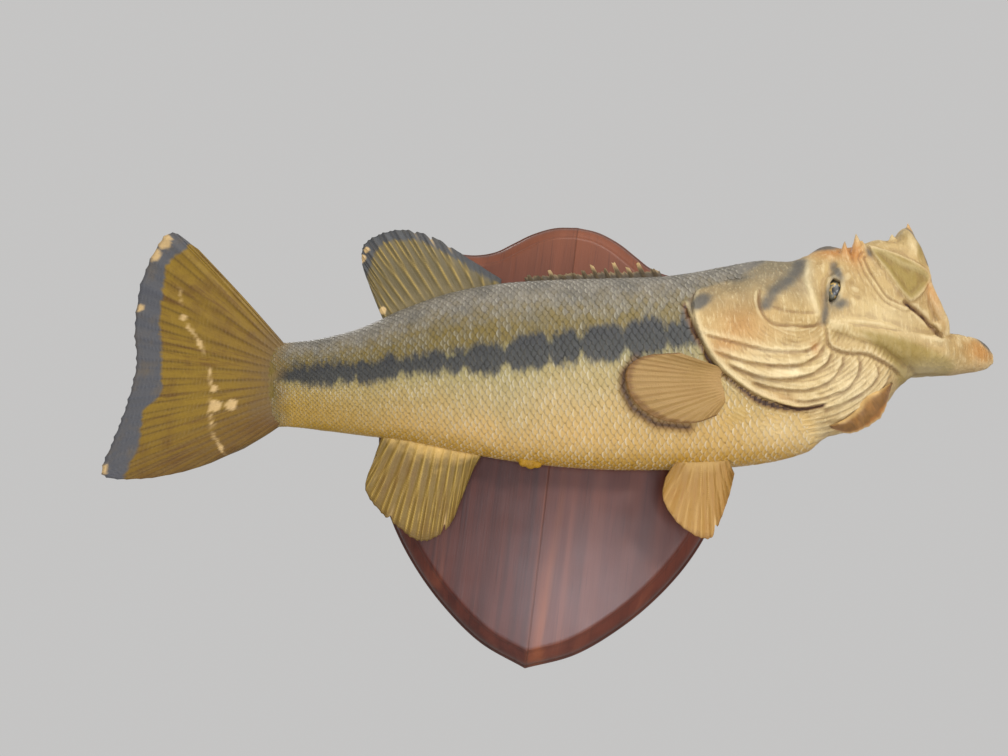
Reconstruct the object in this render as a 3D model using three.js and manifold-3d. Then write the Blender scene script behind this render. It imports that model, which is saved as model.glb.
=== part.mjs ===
// Skin mount of a largemouth bass on a shield-shaped wooden plaque.
// Millimetres: +X is towards the fish's head, +Y into the wall, +Z up.
// The origin is the middle of the plaque's flat back.
import * as THREE from 'three';
import { mergeVertices } from 'three/addons/utils/BufferGeometryUtils.js';
import Module from 'manifold-3d';

const wasm = await Module();
wasm.setup();

// Clear space left between parts that touch, and how near flat a run of facets is before it is made one.
const gap = 0.3;
const evenness = 0.08;

// Plaque: half outline from the top of the dome to the shoulder, then down the side to the point.
const plaqueThickness = 19;
const plaqueTop = [[0, 138.6], [14, 136.8], [28, 131], [40, 123.2], [50, 116.8], [63, 113.2], [80, 113.6], [98, 117.5]];
const plaqueSide = [[98, 117.5], [103.5, 92], [108, 55], [109.3, 20], [108, -12], [102.5, -40], [92, -63], [76, -86],
  [55, -108], [29, -127.5], [0, -139.2]];
// Moulded edge, from the back: height above the back face and how far it steps in.
const plaqueEdge = [[0, 0.8], [0.8, 0], [6.8, 0], [7.8, 1.2], [12.5, 2.6], [16.6, 7.6], [19, 9.9]];
const plaqueSteps = 9;

// Fish: where the root of the tail fin sits, how far the nose is lifted, and the plane it is split by.
const tailRootX = -158;
const tailRootZ = 9.5;
const noseUp = THREE.MathUtils.degToRad(10);
const midY = -54.5;

// Body sections along the fish: distance from the tail root, back, belly and half width.
const bodySections = [
  [-10, 26.5, -25.5, 4.5], [0, 25.5, -26, 7.5], [20, 26.5, -29, 11.5], [45, 31.5, -33.5, 16], [70, 41, -38, 20.5],
  [98, 49, -45.5, 25], [128, 52.8, -52.5, 29], [160, 53, -58, 31.5], [190, 52, -61.3, 33], [224, 51, -63, 33.5],
  [240, 52, -63.6, 33.4], [255, 54, -63.5, 33], [281, 57, -61.5, 32], [300, 56, -57, 31], [312, 58, -49, 30],
  [325, 65.5, -47, 29], [338, 67, -42, 27], [350, 65.5, -28, 25], [360, 66, -19, 23], [369, 72.5, -15, 20.5],
  [375.5, 58, -11, 17.5],
];
const bodySteps = 38;
const bodySides = 26;
const bodyRoundness = 2.2;
const stemEnd = 110;

// Head: the slanting cut behind it, and the line of the mouth corner that parts it from the throat.
const napeTop = { s: 284, t: 60 };
const napeBottom = { s: 317, t: -50 };
const jawLine = { s: 300, t: 15, slope: -0.14 };

// Lower jaw: a trough open above; sections as for the body.
const jawSections = [
  [311, 13, 5, 30], [316, 15, 2, 30.6], [325, 14, -2, 30.2], [338, 12, -6, 28.8], [350, 10, -14, 26.8],
  [362, 8, -18.5, 24], [375, 6.5, -19, 20.4], [388, 8.5, -18.5, 15.6], [399, 6.5, -16.5, 10.6], [407, 1, -14.5, 6.4],
  [411.5, -5, -11.5, 2.6],
];
const jawWall = 4;
const jawFloor = 6;
const jawRoundness = 2.8;
const jawSteps = 14;
const jawSides = 20;

// Mouth cavity, from the gullet out through the gape.
const mouthSections = [
  [306, 18, 6, 5], [316, 26, -1, 11], [332, 36, -6, 16], [348, 46, -9, 18.5], [362, 52, -12, 18], [374, 57, -13, 17],
  [392, 66, -13, 17],
];
const mouthSteps = 8;
const mouthSides = 18;

// Upper lip: an arch across the front of the head, given down its right half.
const lipArch = [[373, 57, 0], [373, 53, 7.5], [371.5, 45, 13.5], [372, 33, 17], [375, 21, 18], [379.5, 12.2, 16.8]];
const lipRadius = { along: 3.4, across: 2.6 };

// Plates lying on the head, as outlines seen from the side.
const gillCover = [[236.5, 26], [241, 36.5], [254, 42], [276, 44], [296, 42], [302, 26], [304, 8], [306, -12], [308, -32],
  [299, -37], [287, -35.5], [274, -30], [259, -21.5], [246.5, -8], [239, 7]];
const gillCoverRise = { right: 3.2, left: 1.5 };
const maxilla = [[341.5, 57.5], [352, 54], [364, 47], [373.5, 38.5], [371, 32], [359, 22.5], [352, 31], [346, 43]];
const maxillaRise = 1.8;

// Eyes: glass balls set below the rim of the socket.
const eye = { s: 318.5, t: 31, radius: 8.4, sunk: 8.6, rim: 9.4, detail: 2 };

// Fins: root line inside the body, outer margin, number of rays, thickness at root and margin, and rib height.
const finLevels = [0, 0.3, 0.65, 1];
const spineRootDepth = 5;
const tailFin = {
  root: [[3, -19], [2, -8], [2, 8], [3, 19]],
  margin: [[-28, -36], [-58, -46.5], [-92, -51], [-114, -47], [-106, -26], [-97, -5], [-92, 18], [-91, 42], [-84, 78],
    [-72, 98], [-54, 87]],
  rays: 18, thick: [4.6, 1.1], rib: 0.5, bow: [0, 5], flare: 0.24,
};
const softDorsal = {
  root: [[60, 31], [80, 39], [104, 46], [129, 48.5]],
  margin: [[50, 57], [45.5, 73], [47, 84], [58, 90.5], [72, 92], [89, 86.5], [111, 71], [129.5, 57]],
  rays: 13, thick: [3.2, 1], rib: 0.45, bow: [0, 4], flare: 0.1,
};
const spinyDorsal = {
  root: [[146, 48], [172, 48.4], [198, 47.8], [226, 47.4]], thick: [2.4, 1], rib: 0.6,
  stubs: [4.5, 2.5, 6, 3, 4, 5.5, 8, 5, 9, 6.5, 8.5, 4], membrane: 2, lean: 5,
};
const analFin = {
  root: [[57, -29], [78, -34], [98, -39.5], [116, -45]],
  margin: [[49, -47], [43.5, -64], [52, -78], [63, -88.5], [74, -96], [83, -94.5], [92, -88], [100, -72], [107, -56]],
  rays: 13, thick: [3.2, 1], rib: 0.45, bow: [0, 5], flare: 0.1,
};
const pelvicFin = {
  root: [[225, -56], [235, -57], [244, -57.5], [252, -57]],
  margin: [[216, -68], [213.5, -79], [220, -93], [231, -102], [238, -103], [245.5, -91], [251, -78], [254, -68]],
  rays: 8, thick: [3, 1], rib: 0.4, flare: 0.06,
};
const pelvicOut = { right: 11, left: 9 };
const pelvicSplay = { right: 7, left: 2 };
const pelvicScale = { right: 1, left: 0.88 };
const pectoralFin = {
  root: [[252, -11], [253, -17], [253, -23], [251, -29]],
  margin: [[226, -2], [205, -4], [197, -11], [199, -20], [205, -28], [217, -37], [232, -39.5], [244, -37.5]],
  rays: 13, thick: [2.6, 1], rib: 0.35, flare: 0.1,
};
const pectoralSunk = 2.5;
const pectoralLift = 7;

// Wooden block let into the hidden flank; the fish is held to the plaque through it.
const block = { s: 188, t: -4, length: 88, height: 40, depth: 12 };

// Fittings let into the plaque's back.
const hanger = { z: 92, width: 46, height: 17, depth: 2, slotWidth: 4.6, slotHeight: 12, hole: 4.6, pocket: 9 };
const screwSpacing = 56;
const screwHead = { radius: 4.8, depth: 2.2, slot: 1.1, slotDepth: 1 };

const wood = { color: 0x5a2c20, roughness: 0.42, metalness: 0 };
const rawWood = { color: 0xa9855a, roughness: 0.8, metalness: 0 };
const steel = { color: 0x9a9890, roughness: 0.4, metalness: 0.9 };
const flank = { color: 0xb08a45, roughness: 0.5, metalness: 0 };
const headSkin = { color: 0xc69a58, roughness: 0.55, metalness: 0 };
const oliveSkin = { color: 0x8f8038, roughness: 0.5, metalness: 0 };
const finSkin = { color: 0x9a7a35, roughness: 0.55, metalness: 0 };
const glassEye = { color: 0x2a2418, roughness: 0.15, metalness: 0 };

// Frame position of a point given along the fish, up from its axis, and sideways.
function fishPoint(s, t, y) {
  const x = tailRootX + s * Math.cos(noseUp) - t * Math.sin(noseUp);
  const z = tailRootZ + s * Math.sin(noseUp) + t * Math.cos(noseUp);
  return new THREE.Vector3(x, y, z);
}

// Smooth value of every column of a table at distance s, the first column being the distance.
function sectionAt(table, s) {
  let i = 0;
  while (i < table.length - 2 && s > table[i + 1][0]) i += 1;
  const f = THREE.MathUtils.clamp((s - table[i][0]) / (table[i + 1][0] - table[i][0]), 0, 1);
  const rows = [-1, 0, 1, 2].map((k) => table[THREE.MathUtils.clamp(i + k, 0, table.length - 1)]);
  return table[0].map((_, c) => {
    const [a, b, d, e] = rows.map((row) => row[c]);
    const inSlope = (d - a) / 2;
    const outSlope = (e - b) / 2;
    const rise = b - d;
    return b + f * (inSlope + f * (-3 * rise - 2 * inSlope - outSlope + f * (2 * rise + inSlope + outSlope)));
  });
}

function lineThrough(points) {
  return new THREE.CatmullRomCurve3(points.map(([a, b, c = 0]) => new THREE.Vector3(a, b, c)), false, 'centripetal');
}

// Solid from rings of points; each end is closed to its ring's middle.
function ringSolid(rings) {
  const count = rings[0].length;
  const points = rings.flat();
  const faces = [];
  for (let i = 0; i < rings.length - 1; i += 1) {
    for (let j = 0; j < count; j += 1) {
      const k = (j + 1) % count;
      const [a, b, c, d] = [i * count + j, i * count + k, (i + 1) * count + k, (i + 1) * count + j];
      faces.push(a, b, c, a, c, d);
    }
  }
  for (const [row, flip] of [[0, true], [rings.length - 1, false]]) {
    const middle = rings[row].reduce((sum, p) => sum.add(p), new THREE.Vector3()).divideScalar(count);
    points.push(middle);
    for (let j = 0; j < count; j += 1) {
      const edge = [row * count + j, row * count + ((j + 1) % count)];
      faces.push(points.length - 1, ...(flip ? edge.reverse() : edge));
    }
  }
  const geometry = new THREE.BufferGeometry().setFromPoints(points);
  geometry.setIndex(faces);
  return toSolid(geometry);
}

function toSolid(geometry) {
  geometry.deleteAttribute('normal');
  geometry.deleteAttribute('uv');
  const merged = mergeVertices(geometry, 1e-4);
  const solid = new wasm.Manifold(new wasm.Mesh({
    numProp: 3,
    vertProperties: new Float32Array(merged.attributes.position.array),
    triVerts: new Uint32Array(merged.index.array),
  }));
  return solid.volume() < 0 ? flipped(merged) : solid;
}

function flipped(geometry) {
  const turned = Array.from(geometry.index.array);
  for (let i = 0; i < turned.length; i += 3) [turned[i], turned[i + 1]] = [turned[i + 1], turned[i]];
  return new wasm.Manifold(new wasm.Mesh({
    numProp: 3,
    vertProperties: new Float32Array(geometry.attributes.position.array),
    triVerts: new Uint32Array(turned),
  }));
}

// Sideways half extent of a section at height t.
function halfWidthAt([, top, bottom, half], t, roundness) {
  const u = Math.min(1, Math.abs(t - (top + bottom) / 2) / ((top - bottom) / 2));
  return half * (1 - u ** roundness) ** (1 / roundness);
}

function sectionRing([s, top, bottom, half], roundness, sides, grow) {
  const middle = (top + bottom) / 2;
  const height = (top - bottom) / 2 + grow;
  const power = 2 / roundness;
  return Array.from({ length: sides }, (_, j) => {
    const angle = (j / sides) * Math.PI * 2;
    const across = Math.sign(Math.cos(angle)) * Math.abs(Math.cos(angle)) ** power;
    const up = Math.sign(Math.sin(angle)) * Math.abs(Math.sin(angle)) ** power;
    return fishPoint(s, middle + height * up, midY - (half + grow) * across);
  });
}

// Solid through a table of sections, made larger all round by grow.
function lofted(table, steps, sides, roundness, grow = 0) {
  const first = table[0][0];
  const last = table[table.length - 1][0];
  const rings = Array.from({ length: steps + 1 }, (_, i) => {
    const s = first + ((last - first) * i) / steps;
    const [, top, bottom, half] = sectionAt(table, s);
    const end = first - grow + ((last - first + 2 * grow) * i) / steps;
    return sectionRing([end, top, bottom, half], roundness, sides, grow);
  });
  return ringSolid(rings);
}

// Solid whose outline is seen from the side of the fish, between two distances from its split plane.
function sidePrism(outline, near, far, grow = 0) {
  const centre = outline.reduce(([a, b], [s, t]) => [a + s / outline.length, b + t / outline.length], [0, 0]);
  const ring = (y) => outline.map(([s, t]) => {
    const reach = Math.hypot(s - centre[0], t - centre[1]);
    const k = 1 + grow / reach;
    return fishPoint(centre[0] + (s - centre[0]) * k, centre[1] + (t - centre[1]) * k, midY + y);
  });
  return ringSolid([ring(near), ring(far)]);
}

function smoothOutline(outline, steps) {
  const points = outline.map(([s, t]) => new THREE.Vector3(s, t, 0));
  const curve = new THREE.CatmullRomCurve3(points, true, 'centripetal');
  return curve.getSpacedPoints(steps).slice(0, -1).map((p) => [p.x, p.y]);
}

// Everything on one side of a slanting line across the fish.
function halfSpace(from, to, side, offset) {
  const along = new THREE.Vector2(to.s - from.s, to.t - from.t).normalize();
  const out = new THREE.Vector2(-along.y, along.x).multiplyScalar(side);
  const reach = 600;
  const corners = [[-reach, offset], [reach, offset], [reach, reach], [-reach, reach]].map(([a, b]) =>
    [from.s + along.x * a + out.x * b, from.t + along.y * a + out.y * b]);
  return sidePrism(corners, -90, 90);
}

// Thin ribbed sheet between a root line and a margin; side(u, v, s, t) gives its distance from the split plane.
function finSolid({ root, margin, rays, thick, rib, flare }, side) {
  const inner = lineThrough(root);
  const outer = lineThrough(margin);
  const columns = rays * 2;
  const sheets = [1, -1].map((face) => Array.from({ length: columns + 1 }, (_, i) => {
    const u = i / columns;
    const from = inner.getPoint(u);
    const to = outer.getPoint(u);
    return finLevels.map((v) => {
      const point = from.clone().lerp(to, v);
      const spread = flare * Math.sin(Math.PI * v) * 10;
      point.y += spread * (u - 0.5);
      const ribbed = i % 2 ? rib * Math.min(1, 3 * v) : 0;
      const half = THREE.MathUtils.lerp(thick[0], thick[1], v) / 2 + ribbed;
      return fishPoint(point.x, point.y, midY + side(u, v, point.x, point.y) + face * half);
    });
  }));
  return sheetSolid(sheets).subtract(bodyRoom);
}

// Closed solid from two matching grids of points.
function sheetSolid([front, back]) {
  const rings = front.map((line, i) => [...line, ...back[i].slice().reverse()]);
  return ringSolid(rings);
}

function bowed([atRoot, atMargin]) {
  return (u, v) => atRoot + (atMargin - atRoot) * v * v;
}

// Broken spines standing in a low torn membrane.
function stubFin({ root, thick, rib, stubs, membrane, lean }) {
  const inner = lineThrough(root);
  const columns = stubs.length * 2;
  const sheets = [1, -1].map((face) => Array.from({ length: columns + 1 }, (_, i) => {
    const from = inner.getPoint(i / columns);
    const spine = i % 2 === 1;
    const height = spineRootDepth + (spine ? stubs[(i - 1) / 2] : membrane);
    return [0, 0.5, 1].map((v) => {
      const half = THREE.MathUtils.lerp(thick[0], thick[1], v) / 2 + (spine ? rib : 0);
      return fishPoint(from.x - lean * v * (height / 14), from.y + height * v, midY + face * half);
    });
  }));
  return sheetSolid(sheets).subtract(bodyRoom);
}

function shieldRing(inset, depth) {
  const half = [...lineThrough(plaqueTop).getSpacedPoints(plaqueSteps + 2).slice(0, -1),
    ...lineThrough(plaqueSide).getSpacedPoints(plaqueSteps * 2 + 2)];
  const outline = [...half, ...half.slice(1, -1).reverse().map((p) => new THREE.Vector3(-p.x, p.y, 0))];
  return outline.map((p, i) => {
    const before = outline[(i + outline.length - 1) % outline.length];
    const after = outline[(i + 1) % outline.length];
    const a = new THREE.Vector2(p.x - before.x, p.y - before.y).normalize();
    const b = new THREE.Vector2(after.x - p.x, after.y - p.y).normalize();
    const inward = new THREE.Vector2(a.y + b.y, -a.x - b.x).normalize();
    const stretch = inset / Math.max(0.5, inward.dot(new THREE.Vector2(a.y, -a.x)));
    return new THREE.Vector3(p.x + inward.x * stretch, -depth, p.y + inward.y * stretch);
  });
}

function cylinderAlongY(radius, depth, x, y, z, segments = 24) {
  const geometry = new THREE.CylinderGeometry(radius, radius, depth, segments);
  geometry.translate(x, y, z);
  return toSolid(geometry);
}

function boxAt(width, depth, height, x, y, z) {
  const geometry = new THREE.BoxGeometry(width, depth, height);
  geometry.translate(x, y, z);
  return toSolid(geometry);
}

// Hanger plate seen from the back: a rounded bar with a keyhole.
function hangerSolid(grow, withHole) {
  const { z, width, height, depth, slotWidth, slotHeight, hole } = hanger;
  const radius = height / 2 + grow;
  const y = depth / 2;
  const ends = [-1, 1].map((side) => cylinderAlongY(radius, depth + 2 * grow, side * (width - height) / 2, -y, z, 20));
  const plate = boxAt(width - height, depth + 2 * grow, height + 2 * grow, 0, -y, z).add(ends[0]).add(ends[1]);
  if (!withHole) return plate;
  const slot = boxAt(slotWidth, depth * 3, slotHeight / 2, 0, -y, z + slotHeight / 4)
    .add(cylinderAlongY(slotWidth / 2, depth * 3, 0, -y, z + slotHeight / 2, 14));
  return plate.subtract(slot).subtract(cylinderAlongY(hole, depth * 3, 0, -y, z - slotHeight / 6, 18));
}

function screwSolid(z, grow) {
  const y = -(screwHead.depth + grow) / 2;
  const head = cylinderAlongY(screwHead.radius + grow, screwHead.depth + grow, 0, y, z, 20);
  if (grow > 0) return head;
  return head.subtract(boxAt(screwHead.radius * 3, screwHead.slotDepth * 2, screwHead.slot, 0, 0, z));
}

function blockSolid(grow) {
  const nearWall = -plaqueThickness - (grow > 0 ? 0 : gap);
  const inFish = nearWall - block.depth - grow;
  const corners = [[-1, -1], [1, -1], [1, 1], [-1, 1]].map(([a, b]) =>
    [block.s + a * (block.length / 2 + grow), block.t + b * (block.height / 2 + grow)]);
  return sidePrism(corners, nearWall - midY + grow, inFish - midY);
}

function eyeSolid(side, grow) {
  const depth = halfWidthAt(sectionAt(bodySections, eye.s), eye.t, bodyRoundness) - eye.sunk;
  const centre = fishPoint(eye.s, eye.t, midY - side * depth);
  const ball = new THREE.IcosahedronGeometry(eye.radius + grow, eye.detail);
  ball.translate(centre.x, centre.y, centre.z);
  if (grow === 0) return toSolid(ball);
  const opening = new THREE.CylinderGeometry(eye.radius * 0.86, eye.rim, eye.sunk + 4, 20);
  opening.translate(centre.x, centre.y - side * (eye.sunk / 2 + 4), centre.z);
  if (side < 0) {
    opening.translate(-centre.x, -centre.y, -centre.z);
    opening.rotateX(Math.PI);
    opening.translate(centre.x, centre.y + 2 * (eye.sunk / 2 + 4), centre.z);
  }
  return toSolid(ball).add(toSolid(opening));
}

function lipSolid(grow) {
  const half = lineThrough(lipArch).getSpacedPoints(9);
  const path = [...half.slice().reverse(), ...half.slice(1).map((p) => new THREE.Vector3(p.x, p.y, -p.z))];
  const rings = path.map((p, i) => {
    const a = path[Math.max(0, i - 1)];
    const b = path[Math.min(path.length - 1, i + 1)];
    const tangent = b.clone().sub(a).normalize();
    const across = new THREE.Vector3(1, 0, 0).addScaledVector(tangent, -tangent.x).normalize();
    const outward = across.clone().cross(tangent);
    const end = Math.min(1, 0.55 + Math.min(i, path.length - 1 - i) * 0.2);
    return Array.from({ length: 10 }, (_, j) => {
      const angle = (j / 10) * Math.PI * 2;
      const q = p.clone().addScaledVector(across, Math.cos(angle) * (lipRadius.along * end + grow))
        .addScaledVector(outward, Math.sin(angle) * (lipRadius.across * end + grow));
      return fishPoint(q.x, q.y, midY - q.z);
    });
  });
  return ringSolid(rings);
}

function bodySolid(grow) {
  return lofted(bodySections, bodySteps, bodySides, bodyRoundness, grow);
}

// A plate lying on the fish's side, as thick as its rise less the gap under it.
function sidePlate(outline, side, rise) {
  return coverPrism(outline, side, 0).intersect(bodySolid(rise)).subtract(bodyRoom);
}

function coverPrism(outline, side, grow) {
  return sidePrism(smoothOutline(outline, 36), side > 0 ? -80 : 6, side > 0 ? -6 : 80, grow);
}

const sides = { right: 1, left: -1 };

// Room the whole body takes up, with its clearance, cut out of what stands or lies on it.
const bodyRoom = bodySolid(gap);

function pelvicSolid(name) {
  const side = sides[name];
  const scale = pelvicScale[name];
  const margin = pelvicFin.margin.map(([s, t]) => [236 + (s - 236) * scale, -57 + (t + 57) * scale]);
  const place = (u, v) => -side * (pelvicOut[name] + pelvicSplay[name] * v * v);
  return finSolid({ ...pelvicFin, margin }, place);
}

function pectoralSolid() {
  const place = (u, v, s, t) => {
    const surface = halfWidthAt(sectionAt(bodySections, s), t, bodyRoundness);
    return -(surface - pectoralSunk + (pectoralSunk + pectoralLift) * Math.sin((Math.PI / 2) * v));
  };
  return finSolid(pectoralFin, place).subtract(coverPrism(gillCover, sides.right, gap));
}

const ahead = halfSpace(napeTop, napeBottom, 1, gap / 2);
const behind = halfSpace(napeTop, napeBottom, -1, gap / 2);
const jawFar = { s: jawLine.s + 100, t: jawLine.t + 100 * jawLine.slope };
const aboveJaw = halfSpace(jawLine, jawFar, 1, gap / 2);
const belowJaw = halfSpace(jawLine, jawFar, -1, gap / 2);
const aheadOfStem = halfSpace({ s: stemEnd, t: 0 }, { s: stemEnd, t: 10 }, -1, gap / 2);
const behindStem = halfSpace({ s: stemEnd, t: 0 }, { s: stemEnd, t: 10 }, 1, gap / 2);

const mouth = lofted(mouthSections, mouthSteps, mouthSides, 2);
const jawOuter = lofted(jawSections, jawSteps, jawSides, jawRoundness);
const jawRoom = lofted(jawSections, jawSteps, jawSides, jawRoundness, gap);
const jawHollow = jawSections.slice(1, -1).map(([s, top, bottom, half]) =>
  [s, top + 24, bottom + jawFloor, Math.max(1.5, half - jawWall)]);
const jawInside = lofted(jawHollow, mouthSteps, mouthSides, jawRoundness);
const lipRoom = lipSolid(gap);

const carved = bodySolid(0).subtract(jawRoom).subtract(blockSolid(gap));
const frontOfBody = carved.intersect(ahead).subtract(jawInside).subtract(lipRoom).subtract(mouth)
  .subtract(eyeSolid(sides.right, gap)).subtract(eyeSolid(sides.left, gap));
const head = frontOfBody.intersect(aboveJaw);
const throat = frontOfBody.intersect(belowJaw);
const trunk = carved.intersect(behind).intersect(aheadOfStem);
const tailStem = carved.intersect(behindStem);

const screwHeights = [-1, 1].map((k) => fishPoint(block.s, block.t, 0).z + (k * screwSpacing) / 2);
let board = ringSolid(plaqueEdge.map(([height, inset]) => shieldRing(inset, height)));
board = board.subtract(hangerSolid(gap, false)).subtract(cylinderAlongY(7, 2 * hanger.pocket, 0, 0, hanger.z, 20));
for (const z of screwHeights) board = board.subtract(screwSolid(z, gap));

const group = new THREE.Group();

// Adds the largest closed piece of a solid as a named mesh, its nearly flat runs of facets made one.
function put(name, solid, look) {
  const even = solid.asOriginal().simplify(evenness).simplify(evenness);
  const pieces = even.decompose().sort((a, b) => b.volume() - a.volume());
  const { vertProperties, triVerts } = pieces[0].getMesh();
  const geometry = new THREE.BufferGeometry();
  geometry.setAttribute('position', new THREE.BufferAttribute(vertProperties, 3));
  geometry.setIndex(new THREE.BufferAttribute(triVerts, 1));
  geometry.computeVertexNormals();
  const mesh = new THREE.Mesh(geometry, new THREE.MeshStandardMaterial(look));
  mesh.name = name;
  group.add(mesh);
}

put('plaque', board, wood);
put('hanger_plate', hangerSolid(0, true), steel);
put('screw_low', screwSolid(screwHeights[0], 0), steel);
put('screw_high', screwSolid(screwHeights[1], 0), steel);
put('backing_block', blockSolid(0), rawWood);
put('trunk', trunk, flank);
put('tail_stem', tailStem, flank);
put('head', head, headSkin);
put('throat', throat, headSkin);
put('lower_jaw', jawOuter.subtract(jawInside), oliveSkin);
put('upper_lip', lipSolid(0), headSkin);
for (const [name, side] of Object.entries(sides)) {
  put(`gill_cover_${name}`, sidePlate(gillCover, side, gillCoverRise[name]), headSkin);
  put(`maxilla_${name}`, sidePlate(maxilla, side, maxillaRise).subtract(lipRoom), oliveSkin);
  put(`eye_${name}`, eyeSolid(side, 0), glassEye);
  put(`pelvic_fin_${name}`, pelvicSolid(name), finSkin);
}
put('tail_fin', finSolid(tailFin, bowed(tailFin.bow)), finSkin);
put('soft_dorsal_fin', finSolid(softDorsal, bowed(softDorsal.bow)), finSkin);
put('anal_fin', finSolid(analFin, bowed(analFin.bow)), finSkin);
put('spiny_dorsal_fin', stubFin(spinyDorsal), finSkin);
put('pectoral_fin_right', pectoralSolid(), finSkin);

export default group;
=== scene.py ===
import math

import bmesh
import bpy
import numpy as np
from mathutils import Matrix, Vector


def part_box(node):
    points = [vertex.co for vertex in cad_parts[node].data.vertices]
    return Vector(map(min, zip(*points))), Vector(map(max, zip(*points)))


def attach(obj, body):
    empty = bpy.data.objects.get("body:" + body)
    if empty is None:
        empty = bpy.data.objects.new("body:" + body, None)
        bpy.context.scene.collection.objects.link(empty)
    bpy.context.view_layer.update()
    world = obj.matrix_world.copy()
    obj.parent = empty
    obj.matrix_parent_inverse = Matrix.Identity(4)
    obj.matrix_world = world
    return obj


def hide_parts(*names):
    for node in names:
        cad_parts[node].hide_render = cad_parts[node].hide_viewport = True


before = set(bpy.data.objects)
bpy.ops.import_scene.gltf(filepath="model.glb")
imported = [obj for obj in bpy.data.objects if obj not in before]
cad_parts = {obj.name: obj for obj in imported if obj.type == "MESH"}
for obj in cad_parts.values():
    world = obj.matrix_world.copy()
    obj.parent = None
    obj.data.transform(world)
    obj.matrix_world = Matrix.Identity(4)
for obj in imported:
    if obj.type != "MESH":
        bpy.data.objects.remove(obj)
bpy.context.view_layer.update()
rng = np.random.default_rng(11)

# The fish's own axes, in millimetres: s from the tail root, t up, y across with the right flank below 0.
lie = {"rootX": -158.0, "rootZ": 9.5, "midY": -54.5, "noseUp": math.radians(10)}
cosUp, sinUp = math.cos(lie["noseUp"]), math.sin(lie["noseUp"])


def place(points):
    s, t, y = np.moveaxis(np.asarray(points, float), -1, 0)
    x = lie["rootX"] + s * cosUp - t * sinUp
    z = lie["rootZ"] + s * sinUp + t * cosUp
    return np.stack([x, lie["midY"] + y, z], -1) / 1000


def unplace(points):
    x, y, z = np.moveaxis(np.asarray(points, float) * 1000, -1, 0)
    x, z = x - lie["rootX"], z - lie["rootZ"]
    return np.stack([x * cosUp + z * sinUp, z * cosUp - x * sinUp, y - lie["midY"]], -1)


def smooth(low, high, value):
    f = np.clip((np.asarray(value, float) - low) / (high - low), 0, 1)
    return f * f * (3 - 2 * f)


def mix(a, b, f):
    return a + (b - a) * f


def sectionAt(table, s):  # every column of a table of sections, eased between its rows
    rows = np.array(table, float)
    last = len(rows) - 1
    i = np.clip(np.searchsorted(rows[:, 0], s) - 1, 0, last - 1)
    f = np.clip((s - rows[i, 0]) / (rows[i + 1, 0] - rows[i, 0]), 0, 1)[..., None]
    a, b, d, e = (rows[np.clip(i + k, 0, last)] for k in (-1, 0, 1, 2))
    inSlope, outSlope, rise = (d - a) / 2, (e - b) / 2, b - d
    return b + f * (inSlope + f * (-3 * rise - 2 * inSlope - outSlope + f * (2 * rise + inSlope + outSlope)))


def curvePoints(knots, u):  # a smooth line through knots, u from 0 to 1
    p = np.array(knots, float)
    if p.shape[1] == 2:
        p = np.c_[p, np.zeros(len(p))]
    p = np.vstack([2 * p[0] - p[1], p, 2 * p[-1] - p[-2]])
    at = np.clip(np.asarray(u, float), 0, 1) * (len(p) - 3)
    i = np.minimum(at.astype(int), len(p) - 4)
    f = (at - i)[:, None]
    p0, p1, p2, p3 = (p[i + k] for k in range(4))
    d0, d1, d2 = (np.maximum(np.linalg.norm(b - a, axis=1), 1e-4)[:, None] ** 0.5
                  for a, b in ((p0, p1), (p1, p2), (p2, p3)))
    m1 = ((p1 - p0) / d0 - (p2 - p0) / (d0 + d1) + (p2 - p1) / d1) * d1
    m2 = ((p2 - p1) / d1 - (p3 - p1) / (d1 + d2) + (p3 - p2) / d2) * d1
    return p1 + f * (m1 + f * (-3 * p1 + 3 * p2 - 2 * m1 - m2 + f * (2 * p1 - 2 * p2 + m1 + m2)))


def waves(x, y=0.0, z=0.0, seed=0, octaves=3):  # cheap smooth noise, about -1 to 1
    local = np.random.default_rng(seed)
    total = 0.0
    for k in range(octaves):
        for _ in range(4):
            a, b, c = local.normal(size=3) * 1.6 ** k
            total = total + np.sin(a * x + b * y + c * z + local.uniform(0, 6.3)) / 1.6 ** k
    return total / 4.6


def lineDistance(s, t, line):  # distance to a line of points, which side of it, and how far along
    line = np.array(line, float)
    best = np.full(s.shape, 1e9)
    side = np.zeros(s.shape)
    along = np.zeros(s.shape)
    lengths = np.linalg.norm(np.diff(line, axis=0), axis=1)
    start = 0.0
    for (a, b), c, length in zip(line[:-1], line[1:], lengths):
        ds, dt = (c - (a, b)) / length
        f = np.clip((s - a) * ds + (t - b) * dt, 0, length)
        ps, pt = s - a - f * ds, t - b - f * dt
        d = np.hypot(ps, pt)
        near = d < best
        best = np.where(near, d, best)
        side = np.where(near, np.sign(ds * (t - b) - dt * (s - a)), side)
        along = np.where(near, (start + f) / lengths.sum(), along)
        start += length
    return best, side, along


def smoothLine(line, count=24):
    return curvePoints(line, np.linspace(0, 1, count))[:, :2]


def insideBy(s, t, ring):  # how far inside a closed outline, below 0 outside it
    ring = np.array(ring, float)
    d, _, _ = lineDistance(s, t, np.vstack([ring, ring[:1]]))
    inside = np.zeros(s.shape, bool)
    for (a, b), (c, e) in zip(ring, np.roll(ring, -1, axis=0)):
        crosses = (b > t) != (e > t)
        inside ^= crosses & (s < (c - a) * (t - b) / (e - b + 1e-12) + a)
    return np.where(inside, d, -d)


def addObject(name, points, faces, flat=False):
    mesh = bpy.data.meshes.new(name)
    mesh.from_pydata([tuple(p) for p in points], [], [tuple(int(i) for i in f) for f in faces])
    mesh.validate()
    mesh.polygons.foreach_set("use_smooth", np.full(len(mesh.polygons), not flat))
    mesh.update()
    thing = bpy.data.objects.new(name, mesh)
    bpy.context.scene.collection.objects.link(thing)
    return thing


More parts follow.
